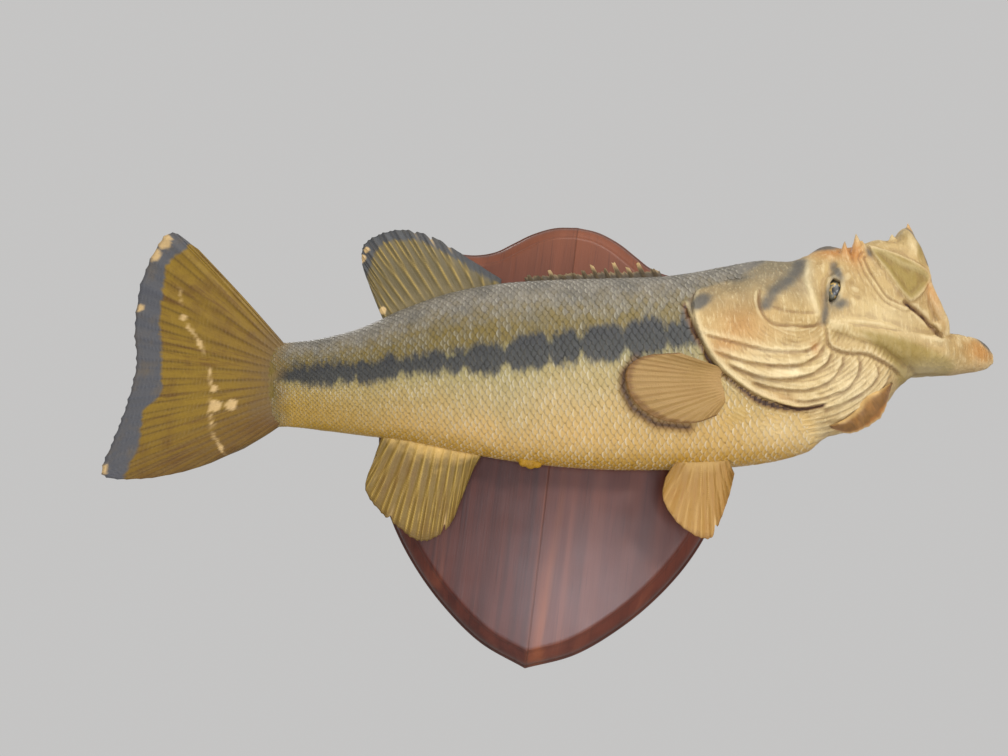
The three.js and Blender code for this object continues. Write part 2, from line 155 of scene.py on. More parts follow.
def gridObject(name, grid, fans=True):  # closed solid from rings of points
    rings, count = grid.shape[:2]
    index = np.arange(rings * count).reshape(rings, count)
    a, b = index[:-1], np.roll(index, -1, 1)[:-1]
    c, d = np.roll(index, -1, 1)[1:], index[1:]
    faces = np.stack([a, b, c, d], -1).reshape(-1, 4).tolist()
    points = grid.reshape(-1, 3)
    if not fans:
        faces += [tuple(index[0][::-1]), tuple(index[-1])]
    if fans:
        points = np.vstack([points, grid[0].mean(0), grid[-1].mean(0)])
        k = rings * count
        faces += [(k, index[0][(j + 1) % count], index[0][j]) for j in range(count)]
        faces += [(k + 1, index[-1][j], index[-1][(j + 1) % count]) for j in range(count)]
    return faceOut(addObject(name, points, faces))


def faceOut(thing):
    work = bmesh.new()
    work.from_mesh(thing.data)
    bmesh.ops.recalc_face_normals(work, faces=work.faces)
    work.to_mesh(thing.data)
    work.free()
    return thing


def bake(thing):  # makes the modifiers of a piece part of its mesh
    result = bpy.data.meshes.new_from_object(thing.evaluated_get(bpy.context.evaluated_depsgraph_get()))
    old = thing.data
    thing.modifiers.clear()
    thing.data = result
    result.name = thing.name
    bpy.data.meshes.remove(old)
    return thing


def combine(thing, tool, operation):
    cut = thing.modifiers.new("cut", "BOOLEAN")
    cut.operation, cut.solver, cut.object = operation, "MANIFOLD", tool
    bake(thing)
    bpy.data.objects.remove(tool)
    return thing


def coordinates(mesh):
    flat = np.empty(len(mesh.vertices) * 3, np.float32)
    mesh.vertices.foreach_get("co", flat)
    return flat.reshape(-1, 3).astype(float)


def setCoordinates(mesh, points):
    mesh.vertices.foreach_set("co", np.asarray(points, np.float32).ravel())
    mesh.update()


def normals(mesh):
    flat = np.empty(len(mesh.vertices) * 3, np.float32)
    mesh.vertex_normals.foreach_get("vector", flat)
    return flat.reshape(-1, 3).astype(float)


def relax(mesh, rounds, strength=0.5):  # evens a mesh by moving points towards their neighbours
    edges = np.empty(len(mesh.edges) * 2, np.int32)
    mesh.edges.foreach_get("vertices", edges)
    a, b = edges.reshape(-1, 2).T
    points = coordinates(mesh)
    share = np.bincount(np.r_[a, b], minlength=len(points))[:, None]
    for _ in range(rounds):
        total = [np.bincount(np.r_[a, b], np.r_[points[b, k], points[a, k]], len(points)) for k in range(3)]
        points = mix(points, np.stack(total, 1) / share, strength)
    setCoordinates(mesh, points)


def relief(mesh, rounds):  # how proud each point stands of its evened surroundings, in millimetres
    before = coordinates(mesh)
    relax(mesh, rounds)
    after = coordinates(mesh)
    setCoordinates(mesh, before)
    return np.sum((before - after) * normals(mesh), 1) * 1000


def shadeSmooth(thing):
    thing.data.polygons.foreach_set("use_smooth", np.ones(len(thing.data.polygons), bool))


def field(thing, name, values):
    layer = thing.data.attributes.get(name) or thing.data.attributes.new(name, "FLOAT", "POINT")
    layer.data.foreach_set("value", np.asarray(values, np.float32))


# Trunk and head: distance along the fish, back, belly, half width.
body = {
    "sections": [
        [-16, 27, -26, 1.8], [-8, 26.2, -25.6, 3.4], [2, 25.6, -26, 6.8], [20, 26.5, -29, 11.5],
        [45, 31.5, -33.5, 16], [70, 41, -38, 20.5], [98, 49, -45.5, 25], [128, 52.8, -52.5, 29],
        [160, 53, -58, 31.5], [190, 52, -61.3, 33], [224, 51, -63, 33.5], [240, 52, -63.6, 33.4],
        [255, 54, -63.5, 33], [281, 57, -61.5, 32], [300, 56, -57, 31], [310, 58.4, -50, 30],
        [316, 62, -48.5, 29.6], [322, 63.4, -47.6, 29.2], [329, 61.4, -45.5, 28.4], [338, 62.4, -42, 27],
        [350, 65.2, -28, 25], [360, 65, -19, 23], [369, 72.3, -15, 20.5], [375.5, 58, -11, 17.5]],
    "roundness": 2.2, "coat": 0.55, "voxel": 0.00062, "coarse": 1.9,
}
jaw = {
    "sections": [
        [311, 13, 5, 30], [316, 15, 2, 30.6], [325, 14, -2, 30.2], [338, 12, -6, 28.8],
        [350, 10, -12.4, 26.8], [362, 8, -15.8, 24], [375, 7, -16.6, 20.4], [388, 7.4, -17, 15.6],
        [398, 4.4, -16.4, 10.8], [405, 0, -15, 6.6], [409.5, -6, -12.4, 2.6]],
    "roundness": 2.8, "wall": 3.4, "floor": 5.2,
}
mouth = {
    "sections": [
        [306, 18, 6, 5], [316, 26, -1, 9], [332, 36, -6, 13], [348, 46, -9, 14.5], [362, 50, -12, 14],
        [374, 53, -13, 13.5], [392, 60, -13, 13.5]],
}
lip = {"arch": [[371.6, 57, 0], [371.6, 53, 7.5], [370.6, 45, 13.5], [371.4, 33, 17], [374.4, 21, 18],
                [378, 11, 17.2], [379.4, 3, 16.2]],
       "along": 3.2, "across": 2.4}
gillCover = {"ring": [[236.5, 26], [241, 36.5], [254, 42], [276, 44], [296, 42], [302, 26], [304, 8],
                      [306, -12], [308, -32], [299, -37], [287, -35.5], [274, -30], [259, -21.5],
                      [246.5, -8], [239, 7]],
             "rise": 2.9}
maxilla = {"ring": [[341.5, 57.5], [352, 54], [364, 47], [373.5, 38.5], [371, 32], [359, 22.5], [352, 31],
                    [346, 43]],
           "rise": 1.5}
eye = {"s": 318.5, "t": 31.0, "radius": 7.6, "sunk": 10.0, "lean": 20,
       # rings of the gap between the lids: how far out, half width, half height
       "lids": [(-5, 5.0, 5.2), (0, 7.4, 7.4), (5.4, 4.4, 6.6), (7.6, 2.7, 7.2), (10, 2.6, 8.4), (18, 5, 13)]}

bodyS = np.arange(-18, 378, 0.5)
bodyRows = sectionAt(body["sections"], np.clip(bodyS, -16, 375.5))[:, 1:]
kernel = np.exp(-np.linspace(-2.5, 2.5, 13) ** 2)
padded = np.pad(bodyRows, ((6, 6), (0, 0)), "edge")
bodyRows = np.stack([np.convolve(padded[:, k], kernel / kernel.sum(), "valid") for k in range(3)], 1)


def bodyAt(s):
    return np.stack([np.interp(s, bodyS, bodyRows[:, k]) for k in range(3)], -1)


def ringPoint(s, top, bottom, half, angle, roundness, grow=0.0):
    power = 2 / roundness
    c, k = np.cos(angle), np.sin(angle)
    across = np.sign(c) * np.abs(c) ** power
    up = np.sign(k) * np.abs(k) ** power
    middle, tall = (top + bottom) / 2, (top - bottom) / 2 + grow
    return np.stack([s + 0 * up, middle + tall * up, -(half + grow) * across], -1)


def bodyPoint(s, angle, grow=0.0):
    top, bottom, half = np.moveaxis(bodyAt(s), -1, 0)
    return ringPoint(s, top, bottom, half, angle, body["roundness"], grow)


def halfWidth(s, t):
    top, bottom, half = np.moveaxis(bodyAt(s), -1, 0)
    u = np.minimum(1, np.abs(t - (top + bottom) / 2) / ((top - bottom) / 2))
    return half * (1 - u ** body["roundness"]) ** (1 / body["roundness"])


def loft(name, table, steps, sides, roundness, grow=0.0):
    first, last = table[0][0], table[-1][0]
    s = np.linspace(first, last, steps)
    rows = bodyAt(s) if table is body["sections"] else sectionAt(table, s)[:, 1:]
    ends = np.linspace(first - grow, last + grow, steps)
    angle = np.linspace(0, 2 * math.pi, sides, endpoint=False)
    top, bottom, half = (rows[:, k, None] for k in range(3))
    return gridObject(name, place(ringPoint(ends[:, None], top, bottom, half, angle[None], roundness, grow)))


def lipTube():
    half = curvePoints(lip["arch"], np.linspace(0, 1, 20))
    path = np.vstack([half[::-1], half[1:] * (1, 1, -1)])
    tangent = np.gradient(path, axis=0)
    tangent /= np.linalg.norm(tangent, axis=1)[:, None]
    across = np.array([1.0, 0, 0]) - tangent * tangent[:, :1]
    across /= np.linalg.norm(across, axis=1)[:, None]
    outward = np.cross(across, tangent)
    end = np.minimum(1, 0.7 + 0.08 * np.minimum(np.arange(len(path)), np.arange(len(path))[::-1]))
    angle = np.linspace(0, 2 * math.pi, 20, endpoint=False)
    ring = (path[:, None] + across[:, None] * (np.cos(angle)[:, None] * (lip["along"] * end)[:, None, None])
            + outward[:, None] * (np.sin(angle)[:, None] * (lip["across"] * end)[:, None, None]))
    return gridObject("lipTube", place(ring * (1, 1, -1)))


def ball(name, centre, radius, detail=4):
    work = bmesh.new()
    bmesh.ops.create_icosphere(work, subdivisions=detail, radius=radius / 1000)
    bmesh.ops.translate(work, verts=work.verts, vec=Vector(place(centre)))
    mesh = bpy.data.meshes.new(name)
    work.to_mesh(mesh)
    work.free()
    thing = bpy.data.objects.new(name, mesh)
    bpy.context.scene.collection.objects.link(thing)
    return thing


def eyeCentre(side):  # side is 1 on the right flank
    return np.array([eye["s"], eye["t"], -side * (float(halfWidth(eye["s"], eye["t"])) - eye["sunk"])])


def socketTool(side):  # the dried lids leave a narrow leaning gap over the globe
    centre = eyeCentre(side)
    angle = np.linspace(0, 2 * math.pi, 40, endpoint=False)
    lean = math.radians(eye["lean"])
    rings = []
    for out, wide, tall in eye["lids"]:
        wobble = 1 + 0.08 * np.sin(3 * angle + 0.6) + 0.05 * np.sin(7 * angle + side)
        a, b = np.cos(angle) * wide * wobble, np.sin(angle) * tall * wobble
        rings.append(np.stack([centre[0] - 1.4 + a * math.cos(lean) + b * math.sin(lean),
                               centre[1] + 0.6 + b * math.cos(lean) - a * math.sin(lean),
                               np.full(40, centre[2] - side * out)], -1))
    return gridObject("socketTool", place(np.array(rings)))


def spikeTool(name, base, tip, wide, thick, bend=0.0):  # a torn point of dried skin
    base, tip = np.array(base, float), np.array(tip, float)
    along = tip - base
    flatWay = np.array([along[1], -along[0], 0.0])
    flatWay /= np.linalg.norm(flatWay)
    angle = np.linspace(0, 2 * math.pi, 16, endpoint=False)
    rings = []
    for v in np.linspace(0, 1, 12):
        taper = (1 - v ** 1.4) * 0.94 + 0.06
        middle = base + along * v + flatWay * bend * math.sin(v * 3.1)
        rings.append(middle + flatWay * (np.cos(angle) * wide * taper)[:, None]
                     + np.array([0, 0, 1.0]) * (np.sin(angle) * thick * taper)[:, None])
    return gridObject(name, place(np.array(rings)))


# Folds, edges and bands of the dried head skin, each a line along its side.
folds = {
    "gill edge": [(233.5, 26.4), (235.7, 16.5), (239.1, 5.8), (245.2, -7.1), (255.3, -17.6), (268, -26.9),
                  (282.1, -32.4), (291.5, -34.4), (304, -32.7)],
    "fold one": [(238.7, 9.6), (252.6, 5), (270, -0.3), (284, -3), (298.3, -2.6), (306, 3.6)],
    "fold two": [(245, -0.6), (261.2, -7.1), (278.6, -10.5), (292.8, -10.2), (302.7, -5.9), (308.1, 1.1)],
    "fold three": [(251.5, -8), (268.7, -16), (282.7, -18), (296.9, -16.5), (306.9, -11), (311.2, -2.8)],
    "fold four": [(264, -18.5), (282.1, -24), (298.6, -23.8), (310.8, -18.5), (316.2, -11.6), (316.8, -5.5)],
    "fold five": [(286.7, -30), (303.2, -29.7), (315.3, -25.6), (322.9, -20.1), (326, -13), (325.5, -6.9)],
    "fold six": [(303.1, -36), (317.6, -31.5), (330, -25), (335.5, -18), (335.1, -10.7)],
    "fold seven": [(310.4, -43), (325.4, -35.4), (338.1, -26), (345.5, -17.5)],
    "cheek groove": [(275.1, 33.6), (273.2, 24.4), (274.6, 17.7), (279.5, 12.1), (289.3, 10.5), (301.5, 10.4),
                     (307.3, 12.4)],
    "inner cheek": [(279.6, 22.2), (287.6, 19.3), (295.8, 18.3), (305.8, 18.3)],
    "orbit ridge": [(306.5, 50.9), (302.7, 38), (303.7, 27), (306.4, 18.3)],
    "eye hollow": [(319.3, 47.7), (314.8, 38.3), (311.1, 26.2), (307.6, 11.7)],
    "grey band": [(303, 53), (298.9, 44.6), (291, 37.6), (281.9, 30.7), (276.5, 23.5)],
    "eye streak": [(320, 47), (316.8, 37.2), (313.7, 29.9), (311, 21.4), (309.2, 13)],
    "tip line": [(366.9, 71.7), (369.8, 63.7), (373.8, 55.6), (374.5, 45.1)],
    "panel rim": [(343.1, 56.5), (356.7, 46.3), (370.6, 37.5), (372.4, 32.3)],
    "panel lines": [(339, 49.7), (341.4, 38.7), (347.6, 26.5), (355.7, 21.7)],
    "lip gap": [(355.8, 22.3), (367, 13.2), (375.2, 2.9)],
    "mouth fold": [(311.8, 12.2), (333.7, 11), (353.3, 5.9), (373.6, 0.1)],
    "jaw edge": [(309.6, 7.7), (310.4, -0.8), (318.4, -5), (330.7, -6.4), (339.8, -10.7), (350.6, -16.6)],
}
folds = {name: smoothLine(line) for name, line in folds.items()}
pleats = {  # height of each fold, how sharp its lower edge is, how far it runs back, how dark it is below
    # the last column is how dark the painted shade below each fold is; the height also sets how pale the
    # painted highlight on its crest is
    "fold one": (0.576, 0.5, 4.5, 0.35), "fold two": (0.936, 0.4, 4, 0.5),
    "fold three": (1.152, 0.4, 4, 0.55),
    "fold four": (0.936, 0.4, 3.8, 0.5), "fold five": (1.008, 0.4, 3.6, 0.5),
    "fold six": (0.864, 0.4, 3.6, 0.5),
    "fold seven": (0.576, 0.5, 4, 0.35),
}
# height and half width of the plain ones
plainRidges = [("panel rim", 0.9, 1.4), ("lip gap", -2.2, 1.1), ("mouth fold", 1.1, 2.2)]


def onSide(y):  # 1 on the flanks, fading to 0 along the middle of the back and belly
    return smooth(3, 9, np.abs(y))


def along(name, s, t):  # distance to a fold, the same below 0 on its right hand, and 1 fading at its ends
    near = s > 222
    d, signed, share = np.full(s.shape, 99.0), np.full(s.shape, 99.0), np.zeros(s.shape)
    d[near], side, share[near] = lineDistance(s[near], t[near], folds[name])
    signed[near] = side * d[near]
    return d, signed, smooth(-0.03, 0.1, share) * smooth(-0.03, 0.1, 1 - share)


def ridge(d, wide):
    return np.exp(-(d / wide) ** 2)


def step(signed, height, edge, reach):  # raised on the positive side, falling away from the edge
    return height * smooth(-edge, edge, signed) * np.exp(-np.maximum(signed, 0) / reach)


def coverShape(s, t):
    inside = insideBy(s, t, smoothRing(gillCover["ring"], 60))
    return smooth(-0.2, 0.9, inside) * (1 - smooth(286, 306, s)) * (1 - smooth(25, 43, t))


def smoothRing(ring, count):
    knots = np.array(list(ring[-2:]) + list(ring) + list(ring[:2]), float)
    n = len(ring)
    u = (2 + np.linspace(0, n, count, endpoint=False)) / (n + 3)
    return curvePoints(knots, u)[:, :2]


def sculpt(s, t, y):  # how far the dried head skin stands proud of the plain form
    lift = gillCover["rise"] * coverShape(s, t)
    wobble = waves(s / 9, t / 9, y / 9, seed=3)
    small = waves(s / 3.4, t / 3.4, y / 3.4, seed=5)
    d, signed, _ = along("gill edge", s, t)
    deep = 1.6 + 1.6 * blot(s, t, (268, -27), (26, 14))
    lift -= deep * ridge(np.maximum(d - 0.6, 0), 1.7) * (signed < 0.3)
    lift += 0.8 * step(signed, 1, 0.4, 3.5) * ridge(np.maximum(d - 5, 0), 3)
    for name, (height, edge, reach, _) in pleats.items():
        d, signed, held = along(name, s, t)
        shift = signed + 0.7 * wobble + 0.3 * small
        uneven = height * (1 + 0.7 * wobble + 0.35 * small)
        lift += step(shift, uneven, edge, reach) * ridge(np.maximum(d - 6, 0), 3) * held
        lift -= 0.5 * ridge(shift + 0.9, 1.0) * (shift < 0.2) * held
    for name, height, wide in plainRidges:
        lift += height * ridge(along(name, s, t)[0], wide)
    d, signed, held = along("cheek groove", s, t)
    lift += step(-signed, 0.8, 0.6, 4) * ridge(np.maximum(d - 5, 0), 3) * held
    lift -= 1.0 * ridge(d + 0.3 * small, 0.8) * held
    d, _, held = along("inner cheek", s, t)
    lift -= 0.5 * ridge(d, 1.0) * held
    lift += 1.1 * ridge(along("orbit ridge", s, t)[0], 2.8) * (1 + 0.3 * small)
    away = np.hypot((s - eye["s"]) * 1.15, t - eye["t"])
    lift -= 2.0 * ridge(along("eye hollow", s, t)[0], 3.4) * smooth(5, 11, away)
    around = np.arctan2(t - eye["t"], s - eye["s"])
    rays = 0.6 + 0.5 * np.cos(around * 7 + 2 * wobble)
    lift += 0.8 * ridge(away - 11.5, 3.2) * rays * smooth(-3, 4, s - eye["s"])
    inside = insideBy(s, t, smoothRing(maxilla["ring"], 48))
    lift += maxilla["rise"] * smooth(-0.3, 0.9, inside) - 1.3 * smooth(1.2, 5, inside)
    d, signed, _ = along("panel lines", s, t)
    lift += 0.5 * np.cos(d * 1.9 + wobble) * ridge(d, 7) * (signed < 0) * smooth(12, 22, t)
    d, signed, _ = along("jaw edge", s, t)
    lift += step(signed, 0.9, 0.6, 7) * (s < 356) - 1.3 * ridge(d, 1.2) * (signed < 0.2)
    # fine wrinkles ringed about the corner of the jaw, and fine upright ones everywhere
    r = np.hypot(s - 292, t - 22)
    throat = smooth(282, 300, s) * (1 - smooth(-6, 2, t)) * (1 - smooth(340, 352, s))
    lift += throat * (0.22 * np.cos(r * 2.3 + 2.5 * wobble) + 0.14 * np.cos(r * 4.1 + 3 * small))
    cover = smooth(240, 256, s) * (1 - smooth(6, 20, t)) * (1 - throat) * (1 - smooth(318, 330, s))
    lift += cover * 0.16 * np.cos(r * 2.6 + 2 * wobble)
    head = smooth(236, 262, s)
    upright = waves(s / 0.9, t / 7, y / 5, seed=6, octaves=2)
    lift = lift * onSide(y) + head * (0.45 * wobble + 0.3 * small + 0.13 * upright)
    torn = blot(s, t, (331, 54), (10, 8))  # the brow
    return lift + torn * (0.7 * waves(s / 1.6, t / 5, y / 3, seed=7) + 0.5)


stripe = {  # centre and half height of the dark line along the flank, and the pale gaps in it
    "s": [-9, -3, 28, 58, 75, 88, 101, 114, 127, 140, 154, 165, 185, 200, 218, 234, 246],
    "centre": [4, 4.2, 2.3, 2, 3, 4.1, 3.4, 3.9, 4, 5.3, 5.6, 6.6, 7, 8.4, 9.8, 11, 12],
    "half": [3, 5.6, 7, 7.2, 6, 7.2, 7, 9.2, 9.2, 10.4, 10.6, 10.4, 10.8, 11.2, 11.2, 11.4, 11],
    "gaps": [(97, 4), (107, 3), (130.5, 8), (155.2, 6.5), (173.3, 8), (197.6, 8.5), (220.5, 7), (70, 4.5),
             (43, 2)],
    "gapShare": 0.72, "gapWide": 2.2,
}
headBack = {"t": [-64, -44, -34, -26, -17, -7, 6, 16, 26, 36, 44, 58],
            "s": [306, 300, 291, 266, 254, 244, 238, 235, 233.5, 240, 266, 290]}


jawBand = [(326, 7), (344, 4.5), (361, -2), (376, -9), (382, -13), (384, -24), (352, -24), (346, -13),
           (335, -3)]
jawCorner = [(311, 12), (335, 7), (335, -3), (311, 3)]
# the shadow round the pectoral fin
finShadowLine = [(203, -3), (196, -10), (195, -19), (199.5, -29.5), (212, -39), (230, -42)]
marks = {  # soft patches in the dried skin: strength, middle, half sizes, turn
    "orange": [(1, (333, 55), (6, 10)), (0.9, (320, 56), (10, 5)), (0.8, (302, -2), (2.6, 3.4)),
               (0.8, (400, -6), (10, 8)), (0.7, (373, 27), (3.5, 14), 12), (0.7, (369.5, 71), (2.2, 5)),
               (0.5, (262, 10), (16, 12)), (0.35, (250, 0), (8, 6)), (0.5, (276, -31), (18, 4), -12)],
    "olive": [(0.8, (371, 56), (2.2, 13), -8), (0.45, (364, 66), (5, 7))],
    "ink": [(0.6, (266, 43), (11, 3.6), 8), (1.3, (320, 62), (9.5, 4.2)), (1.2, (403.5, -1), (7, 2.4), -50)],
    "side ink": [(1.15, (241.3, 27.8), (8.4, 4.4), 35), (0.95, (320, 42), (3.4, 8), 12),
                 (0.95, (318.5, 23), (6, 4)), (0.95, (315.8, 25.5), (5, 6.5)),
                 (0.7, (341, 54), (2, 5), 15)],
    # the three rows below feed the painted highlight: pale patches lighting the gill cover, throat, breast
    # and jaw
    "bone": [(0.7, (280, -3), (16, 2.6)), (0.5, (300, -49), (14, 6), 20)],
    "throat painted light": [(0.6, (320, -24), (20, 16)), (0.4, (282, -46), (16, 8))],
    "jaw painted light": [(0.4, (345, 14), (22, 9), -12), (0.45, (366, -15), (20, 4))],
}


def blot(s, t, centre, sizes, turn=0.0):  # a soft round patch, 1 at its middle
    a, b = s - centre[0], t - centre[1]
    c, k = math.cos(math.radians(turn)), math.sin(math.radians(turn))
    return np.exp(-((a * c + b * k) / sizes[0]) ** 2 - ((b * c - a * k) / sizes[1]) ** 2)


def blots(name, s, t):
    return [strength * blot(s, t, *patch) for strength, *patch in marks[name]]


def most(*values):
    return np.maximum.reduce(values)


def paint(thing, points, tone=0.5, edge=0.0):  # writes the fields that the finishes of skin and scales read
    s, t, y = np.moveaxis(points, -1, 0)
    flank = onSide(y)
    centre = np.interp(s, stripe["s"], stripe["centre"])
    top, bottom, half = np.moveaxis(bodyAt(s), -1, 0)
    inside = np.interp(s, stripe["s"], stripe["half"]) - np.abs(t - centre)
    for at, depth in stripe["gaps"]:
        inside = inside - stripe["gapShare"] * depth * np.exp(-((s - at) / stripe["gapWide"]) ** 2)
    inside = inside + 1.3 * waves(s / 7, t / 12, seed=12) + 0.8 * waves(s / 2.2, t / 6, seed=13)
    inside = np.where(np.abs(y) > 0.3 * half, inside, -12)
    field(thing, "stripe", np.clip(inside, -12, 12) - 2.6 * smooth(219, 226, s) - 20 * smooth(242, 250, s))
    field(thing, "over", np.clip((t - centre) / np.maximum(top - centre, 5), -1, 1.1))
    field(thing, "under", np.clip((centre - t) / np.maximum(centre - bottom, 5), -1, 1.1))
    field(thing, "head", smooth(-3, 5, s - np.interp(t, headBack["t"], headBack["s"])))
    # greyer towards the top of the head: its own greyer top, partly painted shade that evens out the overhead
    # light
    crown = smooth(16, 50, t) * (1 - smooth(300, 311, s))
    crown = crown + 0.6 * smooth(60, 68, t) * (1 - smooth(352, 362, s))
    field(thing, "crown", np.clip(crown, 0, 1))

    small = waves(s / 4, t / 4, y / 4, seed=8)
    d, signed, _ = along("gill edge", s, t)
    gap = 1.5 + 3.4 * blot(s, t, (273, -29.5), (13, 9)) + 1.4 * blot(s, t, (247, -7), (8, 8))
    # painted shade: dark in the gap under the gill cover, below each fold, along the grooves and round the
    # pectoral fin, and darker round the vent
    shadeMarks = [0 * s, 0.95 * ridge(np.maximum(d - gap * 0.6, 0), 1.2) * smooth(0.4, -0.4, signed)]
    # painted highlight: pale along the rim of the gill cover, on the crest of each fold and on the ridges,
    # with pale patches lighting the gill cover, throat, breast and jaw
    paintedHighlights = [0 * s, 0.4 * ridge(d - 1.6, 1.5) * (signed > 0)]
    for name, (height, _, _, dark) in pleats.items():
        d, signed, held = along(name, s, t)
        shadeMarks.append(0.6 * dark * (1 + 0.9 * small) * ridge(d - 0.8, 1.1) * (signed < 0.2) * held)
        paintedHighlights.append(0.625 * height * (0.8 + 0.5 * small) * ridge(d - 2.0, 1.8) * (signed > 0) * held)
    for name, dark, wide in (("cheek groove", 0.42, 0.9), ("inner cheek", 0.15, 1.2), ("lip gap", 0.9, 1.1),
                             ("jaw edge", 0.35, 1.1)):
        d, _, held = along(name, s, t)
        shadeMarks.append(dark * (1 + 0.5 * small) * ridge(d, wide) * (0.4 + 0.6 * held))
    near = (np.abs(s - 212) < 34) & (np.abs(t + 22) < 30)
    d = np.full(s.shape, 99.0)
    d[near] = lineDistance(s[near], t[near], finShadowLine)[0]
    shadeMarks.append(0.85 * ridge(d, 2.6) * (y < 0))
    d, signed, _ = along("panel lines", s, t)
    shadeMarks.append(0.35 * np.clip(-np.cos(d * 1.9), 0, 1) * ridge(d, 6) * (signed < 0))
    shadeMarks.append(0.42 * blot(s, t, (141, -57.5), (7, 2.8)) * (0.8 + 0.5 * small))  # the vent
    for name, light, wide in (("orbit ridge", 0.42, 2.8), ("mouth fold", 0.3, 4.5), ("panel rim", 0.2, 1.8)):
        paintedHighlights.append(light * ridge(along(name, s, t)[0], wide))
    paintedHighlights.append(1.2 * blot(s, t, (285, -15.4), (12, 2.6)) * (0.8 + 0.4 * small))
    paintedHighlights += [*blots("bone", s, t), sum(blots("throat painted light", s, t)), sum(blots("jaw painted light", s, t))]
    field(thing, "creaseShade", most(*shadeMarks) * flank)
    field(thing, "pale", most(*paintedHighlights) * flank)

    olive = most(smooth(0, 2.5, insideBy(s, t, smoothRing(maxilla["ring"], 48))),
                 0.95 * smooth(-2.5, 3, insideBy(s, t, jawBand)),
                 0.3 * smooth(-1, 2, insideBy(s, t, jawCorner)), *blots("olive", s, t))
    field(thing, "olive", olive * np.where(np.abs(y) > 1.5, 1, 0.6))
    field(thing, "orange", np.clip(sum(blots("orange", s, t)), 0, 1) * smooth(0, 3, np.abs(y)))
    sideInk = most(0.8 * ridge(along("grey band", s, t)[0], 4.6),
                   0.75 * ridge(along("eye streak", s, t)[0], 2.8), *blots("side ink", s, t))
    ink = most(sideInk * flank, 0.75 * ridge(along("tip line", s, t)[0], 1.3), *blots("ink", s, t))
    field(thing, "ink", np.clip(ink, 0, 1.1))
    field(thing, "tailward", smooth(5, -8, s + 3 * waves(t / 4, y / 4, seed=33)))
    field(thing, "rearward", smooth(120, 10, s))
    field(thing, "tone", np.broadcast_to(tone, s.shape))
    field(thing, "rim", np.broadcast_to(edge, s.shape))


# the lower jaw is open above from 380 on, and its hollow is narrower behind that
hollow = [[s, top + 24, bottom + jaw["floor"], max(1.5, half - jaw["wall"])] if s > 380
          else [s, top - 2, bottom + jaw["floor"], half - jaw["wall"] - 4]
          for s, top, bottom, half in jaw["sections"][2:-1]]


def cavityOf(points):  # 1 inside the open mouth
    s, t, y = np.moveaxis(points, -1, 0)
    inside = np.zeros(s.shape, bool)
    for table, power in ((mouth["sections"], 2), (hollow, jaw["roundness"])):
        rows = sectionAt(table, np.clip(s, table[0][0], table[-1][0]))
        u = np.abs(t - (rows[..., 1] + rows[..., 2]) / 2) / ((rows[..., 1] - rows[..., 2]) / 2 + 0.7)
        w = np.abs(y) / (rows[..., 3] + 0.7)
        inside |= (u ** power + w ** power < 1) & (s > table[0][0] - 0.5) & (s < table[-1][0] + 0.5)
    return inside


print("skin: joining the forms")
skin = loft("fishSkin", body["sections"], 150, 72, body["roundness"], -body["coat"])
jawOuter = loft("jawOuter", jaw["sections"], 60, 56, jaw["roundness"], -0.2)
combine(skin, jawOuter, "UNION")
for tool in (
    spikeTool("snoutSpike", (366, 58, -3.5), (369, 74.2, -4.5), 4.6, 2.4, 1.5),
    spikeTool("snoutSpikeTwo", (359, 58, -9), (357.5, 66.2, -10), 4.5, 1.8, -0.8),
    spikeTool("browSpike", (333.2, 48, -14.5), (335.6, 67.6, -14), 4.6, 3.2, 1.2),
    spikeTool("browSpikeTwo", (338.5, 50, -15), (338.6, 62.6, -15), 3.0, 2.4, 0.6),
    spikeTool("browSpikeThree", (327.5, 50, -17), (328, 61.4, -17.5), 3.0, 2.2, -0.6),
):
    combine(skin, tool, "UNION")
combine(skin, loft("mouthTool", mouth["sections"], 30, 40, 2), "DIFFERENCE")
combine(skin, loft("jawTool", hollow, 30, 40, jaw["roundness"]), "DIFFERENCE")
combine(skin, lipTube(), "UNION")
for side in (1, -1):
    combine(skin, ball("cornerTool", (374.5, 8.5, -15.2 * side), 4.2, 3), "UNION")
for at, wide in (((141, -55, -4), 3.3), ((145, -55.2, -3), 2.7), ((136.8, -54.2, -5), 2.6)):  # the dried vent
    combine(skin, ball("ventTool", at, wide, 3), "UNION")
for side in (1, -1):
    combine(skin, socketTool(side), "DIFFERENCE")
remesh = skin.modifiers.new("even", "REMESH")
voxel = body["voxel"] * 1
remesh.mode, remesh.voxel_size = "VOXEL", voxel
bake(skin)
relax(skin.data, 3, 0.6)
points = coordinates(skin.data)
local = unplace(points)
inMouth = cavityOf(local)
lift = sculpt(*local.T)
lift = np.where(inMouth, 0.5 * waves(*(local / 4).T, seed=9), lift)
lift *= smooth(0, 3.5, np.hypot((local[:, 0] - eye["s"] + 1.4) * 1.9, local[:, 1] - eye["t"] - 0.6) - 7)
setCoordinates(skin.data, points + normals(skin.data) * lift[:, None] / 1000)
relax(skin.data, 1, 0.35)
paint(skin, unplace(coordinates(skin.data)))
field(skin, "cavity", inMouth.astype(float))
# how proud the skin stands, read by the finish to paint highlight on its crests and shade in its hollows
fineStand, broadStand = (relief(skin.data, int(reach / (voxel * 1000) ** 2)) for reach in (11, 34))
crest = np.clip(fineStand / 0.3 + broadStand / 0.9 - 0.2, -1, 1)
field(skin, "crest", crest * ~inMouth * (local[:, 0] > 225))
shadeSmooth(skin)
print("skin:", len(skin.data.polygons), "faces")
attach(skin, "root")
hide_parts("trunk", "tail_stem", "head", "throat", "lower_jaw", "upper_lip", "gill_cover_right",
            "gill_cover_left", "maxilla_right", "maxilla_left")

